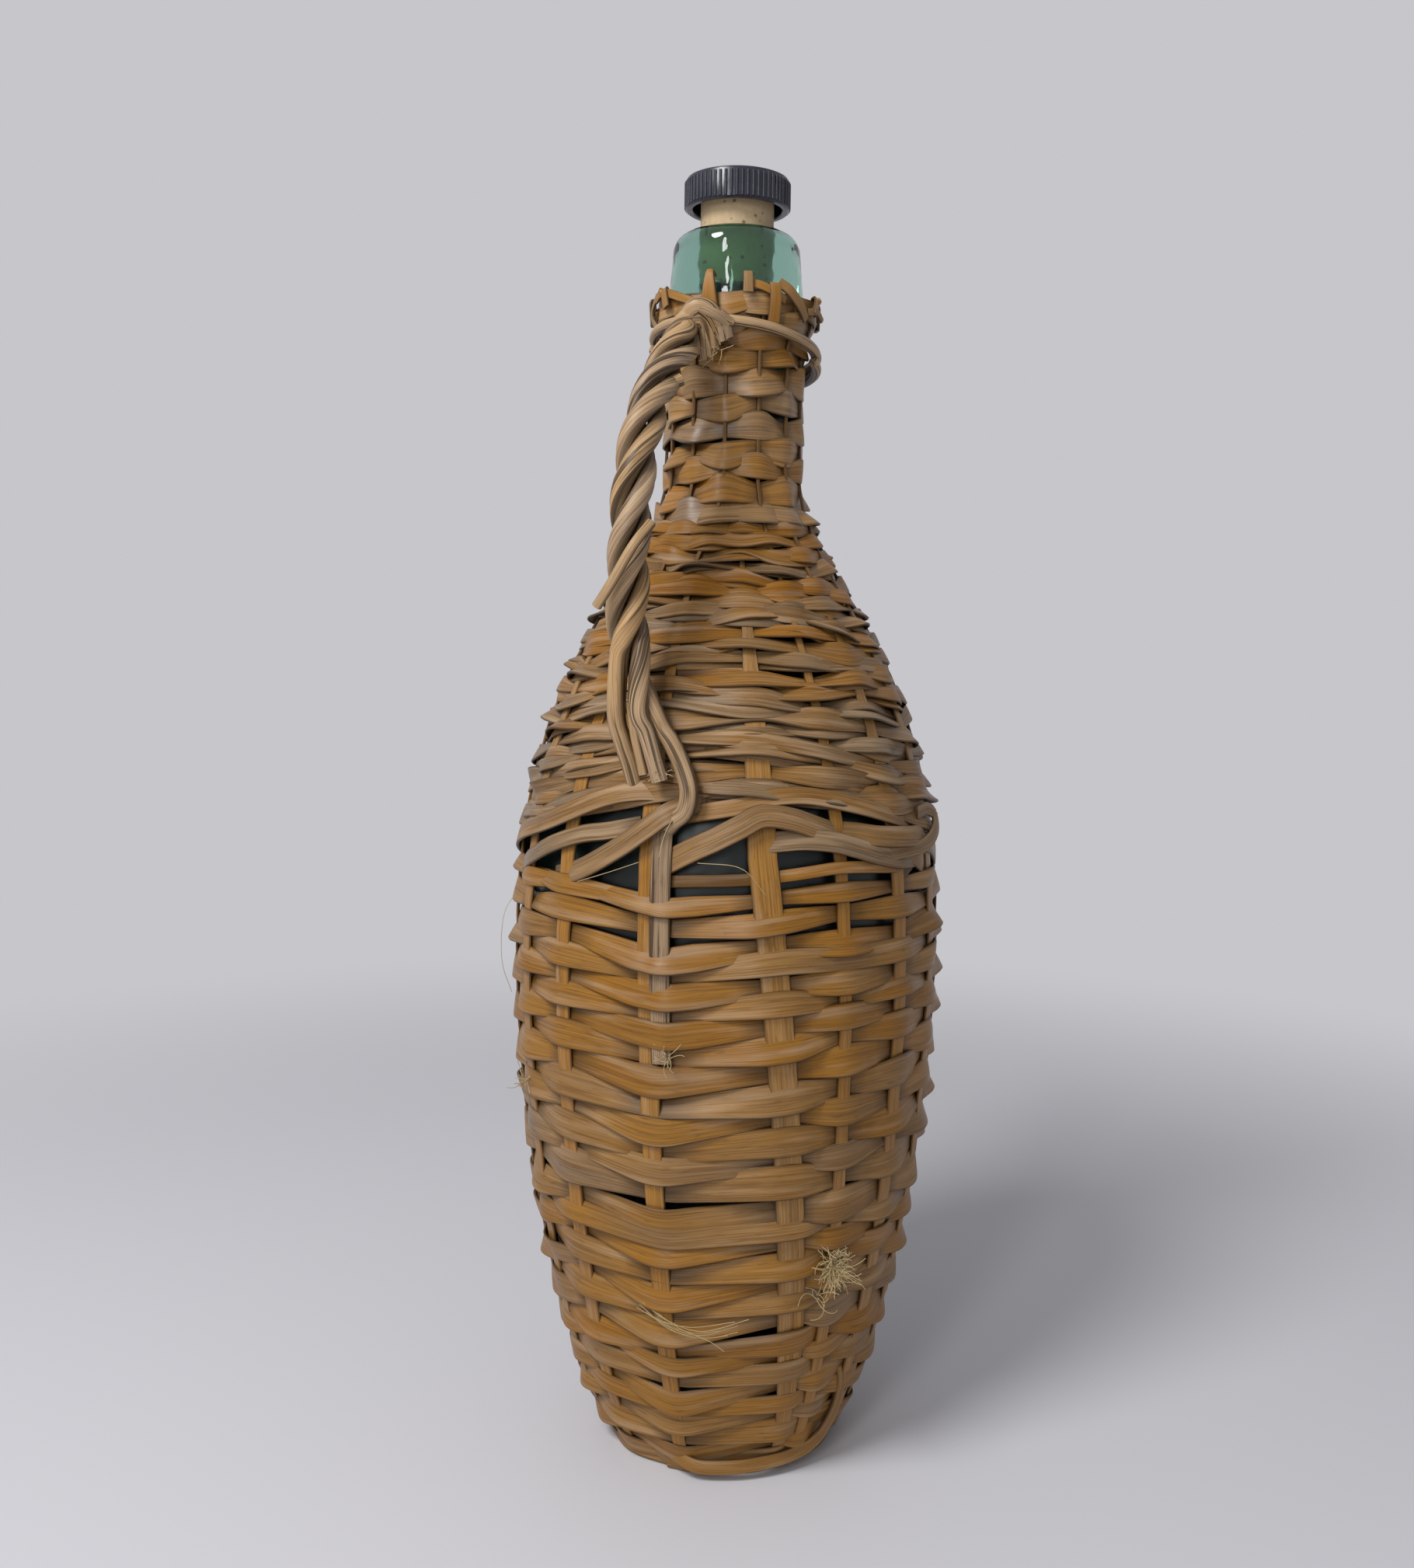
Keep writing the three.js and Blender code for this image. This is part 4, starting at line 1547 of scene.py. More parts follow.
    def strip_course(self, strip: int) -> CanePath:
        """Lay one of the strips that cross the front.

        Args:
            strip: Number of the strip.

        Returns:
            Its course.
        """
        line = self.ring.outline
        width, tone, spots = self.strips[strip]
        degrees, height, offset = np.array(spots, float).T
        along = line.along_at(height)
        lean = np.full(len(along), self.strip_lean)
        knots = np.column_stack([line.point(along, offset, degrees), along, offset, degrees, lean])
        return self.laid(curve_through(knots, self.step), width, tone, self.strip_apart * strip)

    def laid(self, rows: np.ndarray, width: float, tone: Numbers, start: float) -> CanePath:
        """Lay a strip along its rows.

        Args:
            rows: Point, length along the outline, distance from the glass, angle and lean at each place.
            width: Breadth of the strip.
            tone: Colour of the strip.
            start: Place on the stock that it was cut from.

        Returns:
            Its course.
        """
        centre, (along, offset, degrees, lean) = rows[:, :3], rows[:, 3:].T
        outward, lift = self.ring.outline.outward(along, degrees), self.ring.layers.lift(offset)
        return CanePath.laid(centre, outward, width, self.thickness, tone, lift, lean, start)

    def dress(self, sweep: CaneSweep, finish: Material) -> None:
        """Make the pair and put it in its nodes' places.

        Args:
            sweep: Maker of canes.
            finish: Material of the canes.
        """
        for starts, letter in enumerate("ab"):
            courses = [self.course(starts)]
            courses += [self.strip_course(strip) for strip in range(starts, len(self.strips), 2)]
            piece = sweep.sweep(f"waist_twist_{letter}", courses, Section.FLAT, finish)
            settle(piece, Body.BOTTLE, Slot.WOVEN_CANE, f"waist_cane_{letter}")


@dataclass
class BaseMat:
    """Mat under the bottle: spokes, a flat coil woven through them, and a rim."""

    reach: float
    spokes: int = 9
    middle: float = 1.6
    # Width, thickness and tone of the canes
    spoke_cane: Triple = (3.2, 0.9, 0.6)
    coil_cane: Triple = (3.5, 0.8, 0.55)
    rim_cane: Triple = (3.4, 1.4, 0.5)
    lift: float = 0.6
    spoke_step: float = 1.5
    spoke_apart: float = 70.0
    coil_start: float = 3.0
    coil_margin: float = 4.0
    coil_pitch: float = 3.6
    coil_step: float = 4.0
    coil_wave: float = 0.85
    rim_radius: float = 29.9
    rim_height: float = 1.9
    rim_waves: float = 8.5
    rim_wave: Pair = (0.5, 0.2)  # out and up
    rim_end: float = 375.0
    rim_step: float = 3.0
    rim_stock: float = 440.0

    def courses(self) -> list[CanePath]:
        """Lay the mat.

        Returns:
            Courses of its canes.
        """
        courses = []
        for spoke in range(self.spokes):
            degrees = spoke * 180.0 / self.spokes
            ends = around(self.reach, self.middle, np.array([degrees + 180.0, degrees]))
            centre = resampled(ends, self.spoke_step)
            start = self.spoke_apart * spoke
            courses.append(CanePath.laid(centre, DOWN, *self.spoke_cane, self.lift, start=start))
        turns = (self.reach - self.coil_margin) / self.coil_pitch
        degrees = np.arange(0.0, 360.0 * turns, self.coil_step)
        radius = self.coil_start + self.coil_pitch * degrees / 360.0
        wave = np.cos(np.radians(degrees * (self.spokes + 0.5)))
        centre = around(radius, self.middle + self.coil_wave * wave, degrees)
        # Its lift falls where it passes behind a spoke, which darkens it there with painted shade
        courses.append(CanePath.laid(centre, DOWN, *self.coil_cane, 0.5 - 0.5 * wave))
        degrees = np.arange(0.0, self.rim_end, self.rim_step)
        phase = np.radians(degrees * self.rim_waves)
        out, up = self.rim_wave
        radius, height = self.rim_radius + out * np.cos(phase), self.rim_height + up * np.sin(phase)
        centre, outward = around(radius, height, degrees), around(1.0, 0.0, degrees)
        courses.append(CanePath.laid(centre, outward, *self.rim_cane, self.lift, start=self.rim_stock))
        return courses


@dataclass
class Collar:
    """Ends of the stakes, folded down over the top row, and the loose ends that lie on them."""

    ring: StakeRing
    stakes: list[int]
    seed: int = 91
    fold_thickness: float = 0.8
    end_thickness: float = 0.7
    tab_lift: float = 0.9
    fold_lift: float = 0.8
    end_lift: float = 0.5
    tab_falls: Pair = (0.5, 0.8)  # below the top, before the fold and after it
    tab_offsets: tuple[float, ...] = (4.9, 5.0, 4.8, 3.6, 2.4)
    fold_root: float = 3.0
    fold_rise: float = 0.6
    fold_offsets: tuple[float, ...] = (0.9, 0.9, 1.4, 2.0, 1.9)  # from the middle of the stake
    fold_drops: Pair = (2.0, 6.0)
    fold_falls: Pair = (2.8, 4.8)
    fold_widths: Pair = (2.6, 4.4)
    fold_tones: Pair = (0.2, 0.7)
    fold_stray: float = 7.0
    bend_rounds: int = 3
    step: float = 0.6
    # Angle, foot, top, width at the foot and at the top, and tone of the folded ends at the front
    tabs: tuple[tuple[float, float, float, float, float, float], ...] = (
        (7.5, 295.5, 304.8, 5.2, 1.8, 0.85),
        (32.6, 299.5, 304.4, 2.8, 2.4, 0.3),
        (51, 293.8, 301.8, 3.4, 3.2, 0.8),
    )
    # Width and tone of each loose end, and the angle, height and radius along it
    loose_ends: Strips = (
        (2.2, 0.75, ((2, 296.5, 22.2), (-14, 299, 22.7), (-33, 301.5, 22.7), (-46, 300.5, 22.5))),
        (1.8, 0.2, ((-44, 301.5, 22.4), (-53, 299, 22.7), (-54, 296, 22.7), (-46, 293, 22))),
        (2.3, 0.8, ((31, 302, 21.4), (40, 301.6, 22.6), (52, 299.8, 23), (60, 298.5, 22))),
        (3, 0.45, ((56, 303, 21.6), (64, 301, 22.5), (74, 297.5, 22.7), (82, 295, 22))),
        (2, 0.25, ((84, 297, 22.2), (92, 297.5, 23.4), (97, 295.5, 24.2))),
    )

    def tab_courses(self) -> list[CanePath]:
        """Lay the folded ends at the front.

        Returns:
            Course of each.
        """
        line, courses = self.ring.outline, []
        for degrees, foot, top, wide, narrow, tone in self.tabs:
            low, high = line.along_at(foot), line.along_at(top)
            before, after = (high - fall for fall in self.tab_falls)
            along = np.array([low, (low + high) / 2, before, high, after])
            offset = np.array(self.tab_offsets)
            knots = np.column_stack([line.point(along, offset, degrees), along])
            rows = curve_through(knots, self.step)
            width = wide + (narrow - wide) * np.clip((rows[:, 3] - low) / (high - low), 0.0, 1.0)
            outward = around(1.0, 0.0, degrees)
            cane = (width, self.fold_thickness, tone, self.tab_lift)
            courses.append(CanePath.laid(rows[:, :3], outward, *cane))
        return courses

    def fold_course(self, stake: int, chance: np.random.Generator) -> CanePath:
        """Fold one stake's end.

        Args:
            stake: Number of the stake.
            chance: Source of its irregularities.

        Returns:
            Its course.
        """
        ring = self.ring
        degrees = float(ring.angle(stake, ring.jacket_end))
        drop = chance.uniform(*self.fold_drops)
        top = ring.jacket_end - chance.uniform(*self.fold_falls)
        along = np.array([top - self.fold_root, top, top + self.fold_rise, top, top - drop])
        offset = ring.layers.stake + np.array(self.fold_offsets)
        angles = degrees + chance.normal(0.0, self.fold_stray) * np.linspace(0.0, 1.0, len(along))
        centre = resampled(ring.outline.point(along, offset, angles), self.step)
        centre = softened(centre, self.bend_rounds)
        outward = np.cross(np.gradient(centre, axis=0), around(1.0, 0.0, degrees + 90.0))
        width = chance.uniform(*self.fold_widths)
        tone = chance.uniform(*self.fold_tones)
        return CanePath.laid(centre, outward, width, self.fold_thickness, tone, self.fold_lift)

    def courses(self) -> list[CanePath]:
        """Lay every end.

        Returns:
            Courses of the ends.
        """
        chance = np.random.default_rng(self.seed)
        folds = [self.fold_course(stake, chance) for stake in self.stakes]
        ends = [
            loose_course(spots, width, self.end_thickness, tone, self.end_lift)
            for width, tone, spots in self.loose_ends
        ]
        return [*self.tab_courses(), *folds, *ends]


@dataclass
class Jacket:
    """Woven jacket: base, stakes, three woven zones, the waist and the collar."""

    outline: Outline
    sweep: CaneSweep
    layers: Layers = field(default_factory=Layers)
    first_row: float = 3.8
    lower_pitch: float = 4.9
    lower_width: float = 4.4
    upper_pitch: float = 4.1
    upper_width: float = 3.6
    neck_pitch: float = 5.3
    neck_width: float = 4.1
    waist_reach: float = 6.5
    upper_foot: float = 3.5
    row_gap: float = 0.5
    rim_drop: float = 3.2
    mat_overhang: float = 0.4
    front_stakes: int = 3  # first stakes of the neck, whose ends are the tabs at the front
    # Width, thickness, tone and lift of the cane that has come loose at the foot
    foot_cane: tuple[float, float, float, float] = (3.6, 1.0, 0.62, 0.7)
    # Angle, height and radius along it
    foot_spots: Spots = (
        (0, 5.4, 31.6), (9, 4.6, 33.4), (17, 3.8, 34.3), (29.5, 3.8, 34.2), (40.5, 4, 34.2),
        (52, 4.4, 34.4), (62, 5.2, 34.9), (68.5, 7.2, 36), (72, 10.6, 37.4), (74, 15, 38.9),
        (74.6, 19.5, 40), (74.5, 24, 40.4), (74, 28, 39.6),
    )

    def __post_init__(self) -> None:
        """Set out the stakes and the zones."""
        ring = self.ring = StakeRing(self.outline, self.layers)
        self.front = FrontLift()
        every = list(range(ring.count))
        self.lower = WovenZone(
            name="lower_cane", node="lower_weaver", ring=ring, stakes=every, canes=9, seed=11,
            start=self.first_row, end=ring.waist - self.waist_reach - self.lower_width / 2,
            pitch=self.lower_pitch, cover=1.15, swell=0.2, uneven=0.3, wander=0.42, wave=0.7,
            lean=11.0, shingle=-12.0, skips=0.02, dip=3.0, palest=0.38, tone=0.62,
            last_tone=0.8, last_share=0.62, wide_rows=(15, 21),
        )
        self.upper = WovenZone(
            name="upper_cane", node="upper_weaver", ring=ring, stakes=every, canes=6, seed=23,
            start=ring.waist + self.upper_foot, end=ring.shoulder_end - self.upper_width / 2,
            pitch=self.upper_pitch, cover=1.28, swell=0.3, uneven=0.3, wander=0.55, wave=1.4,
            lean=20.0, shingle=-9.0, skips=0.08, plies=2, ply_gap=2.3, ply_lift=0.7, ply_width=0.72,
            bulge=0.0, tone=0.48, ripening=0.15, last_tone=0.68, last_share=0.8, front=self.front,
        )
        self.neck = WovenZone(
            name="neck_cane", node="neck_weaver", ring=ring, canes=4, seed=37,
            stakes=[stake for stake in every if ring.reaches_neck(stake)],
            start=ring.shoulder_end + self.row_gap + self.neck_width / 2,
            end=ring.jacket_end - self.neck_width - self.rim_drop,
            pitch=self.neck_pitch, cover=1.18, swell=0.2, uneven=0.25, wander=0.8, wave=0.8,
            lean=15.0, palest=0.3, tone=0.52, bend_rounds=3, beside_tail=False,
        )

    def dress(self) -> None:
        """Make every cane of the jacket and put it in its node's place."""
        ring, sweep, flat = self.ring, self.sweep.sweep, Section.FLAT
        browns = {"grey": "#806a52", "tan": "#906b3c", "honey": "#986a27", "orange": "#93621c"}
        woven = CaneFinish("split_rattan_weave", **browns).material()
        glossy = CaneFinish("glossy_split_rattan", gloss=0.4).material()
        upright = CaneFinish("split_rattan_stake", wear=0.35).material()
        greys = {"grey": "#827059", "tan": "#946f42", "honey": "#9b6b2a", "orange": "#976320"}
        weathered = CaneFinish(
            "weathered_split_rattan", **greys, worn="#b49e84", wear=0.55, streaks=0.7, gloss=0.18
        ).material()
        mat = BaseMat(self.outline.foot_radius + self.mat_overhang)
        settle(sweep("woven_base", mat.courses(), flat, woven), Body.BOTTLE, Slot.WOVEN_CANE, "base_mat")
        neck_end = ring.jacket_end - self.rim_drop - self.neck_width / 2
        for stake in range(ring.count):
            end = neck_end if ring.reaches_neck(stake) else ring.shoulder_end
            course = ring.course(stake, end, self.lower_pitch)
            piece = sweep(f"upright_cane_{stake + 1:02d}", [course], flat, upright)
            settle(piece, Body.BOTTLE, Slot.STAKE_CANE, f"stake_{stake + 1:02d}")
        self.lower.dress(self.sweep, woven)
        self.upper.dress(self.sweep, weathered)
        self.neck.dress(self.sweep, glossy)
        WaistPair(ring).dress(self.sweep, weathered)
        # The last stake of the neck stands at the front too
        collar = Collar(ring, self.neck.stakes[self.front_stakes:-1])
        settle(sweep("collar_folds", collar.courses(), flat, upright), Body.BOTTLE, Slot.STAKE_CANE)
        foot = loose_course(self.foot_spots, *self.foot_cane)
        settle(sweep("loose_foot_cane", [foot], flat, woven), Body.BOTTLE, Slot.WOVEN_CANE)


@dataclass
class Handle:
    """Three round canes twisted into a rope, tied to the neck and tucked in at the waist."""

    jacket: Jacket
    spacing: float = 3.0
    strand_width: float = 5.0
    strand_thickness: float = 4.5
    strand_tones: Triple = (0.2, 0.1, 0.42)
    tone_wave: float = 0.1
    tone_length: float = 17.0
    strand_apart: float = 330.0
    lift: float = 0.9
    lay: float = 40.0
    top_drop: float = 7.0
    foot_rise: float = 4.1
    stand_off: float = 30.0
    seat: float = 9.95  # from the glass to the middle of the handle where it lies on the jacket
    step: float = 1.0
    twisted_from: int = 9
    twisted_share: float = 0.755
    twisted_every: int = 4
    end_width: float = 4.4
    end_reach: float = 8.0
    loop_width: float = 2.9
    loop_radius: float = 22.0
    loop_height: float = 289.0
    loop_tilt: float = 4.0
    loop_high_angle: float = -10.0
    loop_step: float = 3.0
    loop_gap: float = 0.2
    loop_tone: float = 0.25
    loop_turns: tuple[Pair, ...] = ((12.0, 345.0), (98.0, 300.0))  # first and last angle
    fringe_count: int = 14
    fringe_layer: float = 0.9
    fringe_fan: float = 0.8
    fringe_stray: float = 0.8
    fringe_widths: Pair = (2.0, 3.2)
    fringe_tones: Pair = (0.1, 0.75)
    fringe_thickness: float = 1.4
    fringe_tilt: float = 18.0
    fringe_apart: float = 90.0
    offcut_tone: float = 0.35
    offcut_apart: float = 40.0
    seed: int = 17
    tail_top: float = 10.0
    tail_proud: float = 0.7
    tail_points: int = 50
    tail_cane: Triple = (1.6, 0.12, 0.2)  # thickness, tone and lift; the low lift darkens all of it through the finish's painted recess shade
    # Share of the way down to the waist, share of the widest gap, and angle
    route: Spots = (
        (0, 0.01, -2), (0.07, 0.25, 0), (0.17, 0.63, 0), (0.29, 0.92, 0), (0.42, 1, 0),
        (0.57, 0.77, 0), (0.72, 0.38, 0), (0.84, 0.13, 5), (0.93, 0.02, 10), (1, 0.01, 13.5),
    )
    # Angle, height and distance from the glass: each strand's fold over the tie, and its tucked end
    folds: tuple[Spots, ...] = (
        ((15, 287, 6.5), (13, 291.5, 7.5), (9, 294.3, 8.5), (3, 294.8, 9.8), (-3, 292, 11.2)),
        ((17.5, 288, 6), (15.5, 292, 7), (10, 293.2, 7.5), (3, 292.5, 8.3), (-2, 289.5, 9.5)),
        ((9, 285.5, 6.8), (8, 290, 8.6), (4, 291.8, 10), (-1, 290, 11)),
    )
    ends: tuple[Spots, ...] = (
        (
            (5.6, 193.4, 13), (8.2, 188.5, 10.5), (10.7, 185.3, 9.5), (13.5, 180, 7.9),
            (15.4, 174.4, 7.4), (14.6, 169.5, 6.2), (11.5, 166.8, 4.2), (9, 164.6, 1.6),
        ),
        ((3.6, 193.4, 17), (5.4, 187.8, 13.4), (7.4, 180.5, 10), (8.5, 176.5, 8.4)),
        ((-3.4, 191.7, 14), (-2.2, 184.6, 9.5), (-1.2, 180, 6.5), (-0.6, 174, 2.4)),
    )
    # The same along the highest and the lowest of the short ends that hang over the tie
    fringe_high: Spots = (
        (-6, 290.5, 8.6), (-1, 293.6, 9.6), (5, 294.6, 10), (14, 293.2, 9.4), (22, 292, 7),
    )
    fringe_low: Spots = (
        (-6, 290.5, 8.6), (-3, 293.6, 9.6), (2, 293.8, 10), (5, 289.6, 9.4), (5, 282, 7),
    )
    # Width of each cut end that sticks out of the twist, and the angle, height and radius along it
    offcuts: tuple[tuple[float, Spots], ...] = (
        (2.4, ((6.5, 237, 60), (4.2, 231.3, 64.8), (0, 223.1, 65.6), (-3.9, 217.2, 65.2))),
        (3.2, ((-3, 269.5, 45), (1.5, 271.5, 44.5), (6.5, 273.7, 41.5))),
        (2.6, ((0, 195, 56), (0.8, 186, 54.6), (2.2, 177.5, 52.8))),
    )

    def radius_at(self, height: np.ndarray, offset: Numbers) -> np.ndarray:
        """Return the radius at heights, at distances off the glass."""
        line = self.jacket.outline
        return line.place(line.along_at(height), offset)[:, 0]

    def middle(self) -> np.ndarray:
        """Draw the handle's own line.

        Returns:
            Points along it.
        """
        line, jacket = self.jacket.outline, self.jacket
        top = line.band_foot - self.top_drop
        bottom = line.place(jacket.ring.waist + jacket.front.height + self.foot_rise)[0, 1]
        down, out, degrees = np.array(self.route, float).T
        height = top + (bottom - top) * down
        radius = self.radius_at(height, self.seat) + out * self.stand_off
        return curve_through(around(radius, height, degrees), self.step)

    def placed(self, spots: Spots) -> np.ndarray:
        """Place knots on the jacket, each with the way out of it.

        Args:
            spots: Angle, height, and distance from the glass of each knot.

        Returns:
            One row for each knot: its point, then the way out.
        """
        degrees, height, offset = np.array(spots, float).T
        points = around(self.radius_at(height, offset), height, degrees)
        return np.hstack([points, around(1.0, 0.0, degrees)])

    def strand_courses(self) -> list[CanePath]:
        """Twist the strands round the handle's line, from the knot to their tucked ends.

        Returns:
            Course of each strand.
        """
        line = self.middle()
        heading = unit(np.gradient(line, axis=0))
        across = unit(np.cross(heading, (1.0, 0.0, 0.0)))
        beside = np.cross(heading, across)
        run = reached_along(line)
        twisted = slice(self.twisted_from, int(self.twisted_share * len(line)), self.twisted_every)
        parting = self.ends[1][0][1]  # height at which the strands come apart
        courses = []
        for strand, (fold, end) in enumerate(zip(self.folds, self.ends)):
            angle = 2 * math.pi * (run / self.lay + strand / len(self.folds))[:, None]
            outward = across * np.cos(angle) + beside * np.sin(angle)
            helix = np.hstack([line + self.spacing * outward, outward])[twisted]
            rows = curve_through(np.vstack([self.placed(fold), helix, self.placed(end)]), self.step)
            wave = np.sin(np.arange(len(rows)) / self.tone_length + strand)
            ended = smoothstep(parting - rows[:, 2], -self.end_reach, self.end_reach)
            courses.append(
                CanePath.laid(
                    rows[:, :3],
                    unit(rows[:, 3:]),
                    self.strand_width + (self.end_width - self.strand_width) * ended,
                    self.strand_thickness,
                    self.strand_tones[strand] + self.tone_wave * wave,
                    self.lift,
                    start=self.strand_apart * strand,
                )
            )
        return courses

    def knot_courses(self) -> list[CanePath]:
        """Lay the short ends that hang over the neck tie, and the cut ends that stick out of the twist.

        Returns:
            Course of each end.
        """
        chance = np.random.default_rng(self.seed)
        high = np.array(self.fringe_high, float)
        fall = np.array(self.fringe_low, float) - high
        courses = []
        for end in range(self.fringe_count):
            down = end / (self.fringe_count - 1)
            spots = high + fall * down
            spots[1:, 2] += self.fringe_layer * (end % 2)
            spots[-1, 0] += chance.normal(0.0, 1.0)
            foot = high[-1, 1] + fall[-1, 1] * down**self.fringe_fan
            spots[-1, 1] = foot + chance.uniform(-self.fringe_stray, self.fringe_stray)
            rows = curve_through(self.placed(spots), LOOSE_STEP)
            width = chance.uniform(*self.fringe_widths)
            tone = chance.uniform(*self.fringe_tones)
            tilt = chance.normal(0.0, self.fringe_tilt)
            cane = (width, self.fringe_thickness, tone, self.lift, tilt, self.fringe_apart * end)
            courses.append(CanePath.laid(rows[:, :3], unit(rows[:, 3:]), *cane))
        for width, spots in self.offcuts:
            outward = around(1.0, 0.0, spots[0][0])
            cane = (width, width, self.offcut_tone, self.lift, 0.0, self.offcut_apart * width)
            courses.append(CanePath.laid(through_spots(spots, LOOSE_STEP), outward, *cane))
        return courses

    def loop_courses(self) -> list[CanePath]:
        """Lay the cane that ties the handle to the neck, twice round at the back.

        Returns:
            Its two turns.
        """
        courses, width = [], self.loop_width
        for turn, ends in enumerate(self.loop_turns):
            degrees = np.arange(*ends, self.loop_step)
            climb = self.loop_tilt * np.cos(np.radians(degrees - self.loop_high_angle))
            height = self.loop_height + climb - turn * (width + self.loop_gap)
            centre, outward = around(self.loop_radius, height, degrees), around(1.0, 0.0, degrees)
            courses.append(CanePath.laid(centre, outward, width, width, self.loop_tone, self.lift))
        return courses

    def tail_course(self) -> CanePath:
        """Lay the strand's end that is pushed down beside the first stake.

        Returns:
            Its course.
        """
        line, ring = self.jacket.outline, self.jacket.ring
        along = np.linspace(ring.waist - ring.tail_reach, ring.waist + self.tail_top, self.tail_points)
        degrees = ring.tail_angle(along)
        centre = line.point(along, self.jacket.layers.stake + self.tail_proud, degrees)
        return CanePath.laid(centre, line.outward(along, degrees), ring.tail_width, *self.tail_cane)

    def dress(self) -> None:
        """Make the handle's canes and put them in their nodes' places."""
        pales = {"grey": "#b1977b", "tan": "#be9c71", "honey": "#c0935c"}
        splits = {"crack_level": 0.55, "crack_width": 1.3, "cracks": 0.8}
        # edges paints shade along the sides and the underside of each strand
        finish = CaneFinish("peeled_rattan_handle", **pales, **splits, edges=0.65, bump=0.4).material()
        strands = [
            (f"twisted_strand_{letter}", [course], (f"handle_strand_{letter}",))
            for course, letter in zip(self.strand_courses(), "abc")
        ]
        pieces = (
            *strands,
            ("neck_tie", self.loop_courses(), ("neck_loop",)),
            ("handle_knot", self.knot_courses(), ()),
            ("tucked_tail", [self.tail_course()], ("handle_tail",)),
        )
        for name, courses, nodes in pieces:
            piece = self.jacket.sweep.sweep(name, courses, Section.ROUND, finish)
            settle(piece, Body.BOTTLE, Slot.HANDLE_CANE, *nodes)


@dataclass
class Frays:
    """Loose fibres where canes have frayed."""

    outline: Outline
    sweep: CaneSweep
    fibre_width: float = 0.17  # drawn coarser than real fibres, which are too fine to show
    fibre_face: Triple = (0.31, 0.21, 0.93)
    step: float = 1.0
    seed: int = 61
    rise: float = 0.4
    axis_rise: float = 1.2
    curls: Pair = (6.0, 26.0)
    lengths: Pair = (0.5, 1.1)
    jitter: float = 0.06
    flatness: float = 0.7
    sunk: float = 0.6  # how far below its root a fibre may lie
    # Angle, height and distance from the glass of each tuft, its reach, and its fibres' number and length
    tufts: tuple[tuple[float, float, float, float, int, float], ...] = (
        (57, 58.6, 5.2, 2.4, 130, 8.5),
        (53, 52, 5.2, 1.4, 10, 9),
        (-39.7, 97.3, 5, 1, 16, 5),
        (11.5, 112, 5.2, 1.4, 14, 5),
        (12, 286, 8.6, 3.4, 26, 5),
        (8.5, 176.5, 9, 1.4, 18, 3.2),
    )
    # Angle, height and distance from the glass along each single hair
    hairs: tuple[Spots, ...] = (
        ((12, 167, 6.5), (10.5, 163, 8), (9.5, 158, 8.5)),
        ((-14, 150.5, 5), (-4, 153.5, 7), (4, 156.5, 6.5)),
        ((18, 157, 6), (28, 156, 7), (34, 150, 5)),
        ((-68, 141, 4), (-66, 134, 7.5), (-66, 122, 8), (-68, 113, 6)),
        ((1, 49.6, 4.4), (9, 46.4, 5.6), (19, 44.6, 5.8), (30, 46.4, 4.6)),
        ((3, 48, 4.4), (11, 45.2, 5.7), (20, 43.8, 5.5), (27, 44.2, 5)),
        ((2, 50.4, 4.4), (10, 47.4, 5.5), (20, 45.8, 5.9), (33, 48, 4.6)),
        ((5, 49, 4.4), (13, 46.2, 5.8), (22, 43.4, 6.2), (26, 41.2, 6.6)),
        ((0, 48.6, 4.4), (8, 47.2, 5.6), (17, 46.6, 5.8), (29, 47.6, 4.8)),
        ((4, 47.4, 4.4), (12, 45.8, 5.5), (18, 45, 5.6), (25, 45.2, 4.8)),
        ((6, 46.8, 4.4), (13, 44.6, 5.6), (21, 43.6, 5.4), (30, 44.8, 4.6)),
    )

    def fibre(self, centre: np.ndarray) -> CanePath:
        """Lay one fibre along its points."""
        return CanePath.laid(centre, self.fibre_face, self.fibre_width, self.fibre_width)

    def courses(self) -> list[CanePath]:
        """Curl every tuft and draw every hair.

        Returns:
            Courses of the fibres.
        """
        chance = np.random.default_rng(self.seed)
        line = self.outline
        courses = []
        for degrees, height, offset, reach, count, length in self.tufts:
            root = line.point(line.along_at(height), offset, degrees)[0]
            out = around(1.0, 0.0, degrees)[0]
            steps = int(length / self.step)
            for _ in range(count):
                heading = unit(chance.normal(0.0, 1.0, 3) + self.rise * out)
                axis = unit(chance.normal(0.0, 1.0, 3) + self.axis_rise * out)
                curl = math.radians(chance.uniform(*self.curls)) * chance.choice((-1.0, 1.0))
                points = [root + chance.normal(0.0, reach / 2, 3) * (1.0 - self.flatness * np.abs(out))]
                for _ in range(max(3, int(steps * chance.uniform(*self.lengths)))):
                    points.append(points[-1] + self.step * heading)
                    turn = curl * np.cross(axis, heading)
                    heading = unit(heading + turn + chance.normal(0.0, self.jitter, 3))
                centre = np.array(points)
                sunk = np.minimum((centre - root) @ out + self.sunk, 0.0)
                courses.append(self.fibre(centre - sunk[:, None] * out))
        for spots in self.hairs:
            degrees, height, offset = np.array(spots, float).T
            knots = line.point(line.along_at(height), offset, degrees)
            courses.append(self.fibre(curve_through(knots, self.step)))
        return courses

    def dress(self) -> None:
        """Make the fibres."""
        straws = {"grey": "#c4b189", "tan": "#cdb98c", "honey": "#d0b67f", "orange": "#c9a868"}
        finish = CaneFinish("frayed_rattan_fibre", **straws, worn="#d6c8a4", cracks=0.0, edges=0.0)
        piece = self.sweep.sweep("loose_fibres", self.courses(), Section.FIBRE, finish.material())
        settle(piece, Body.BOTTLE, Slot.WOVEN_CANE)


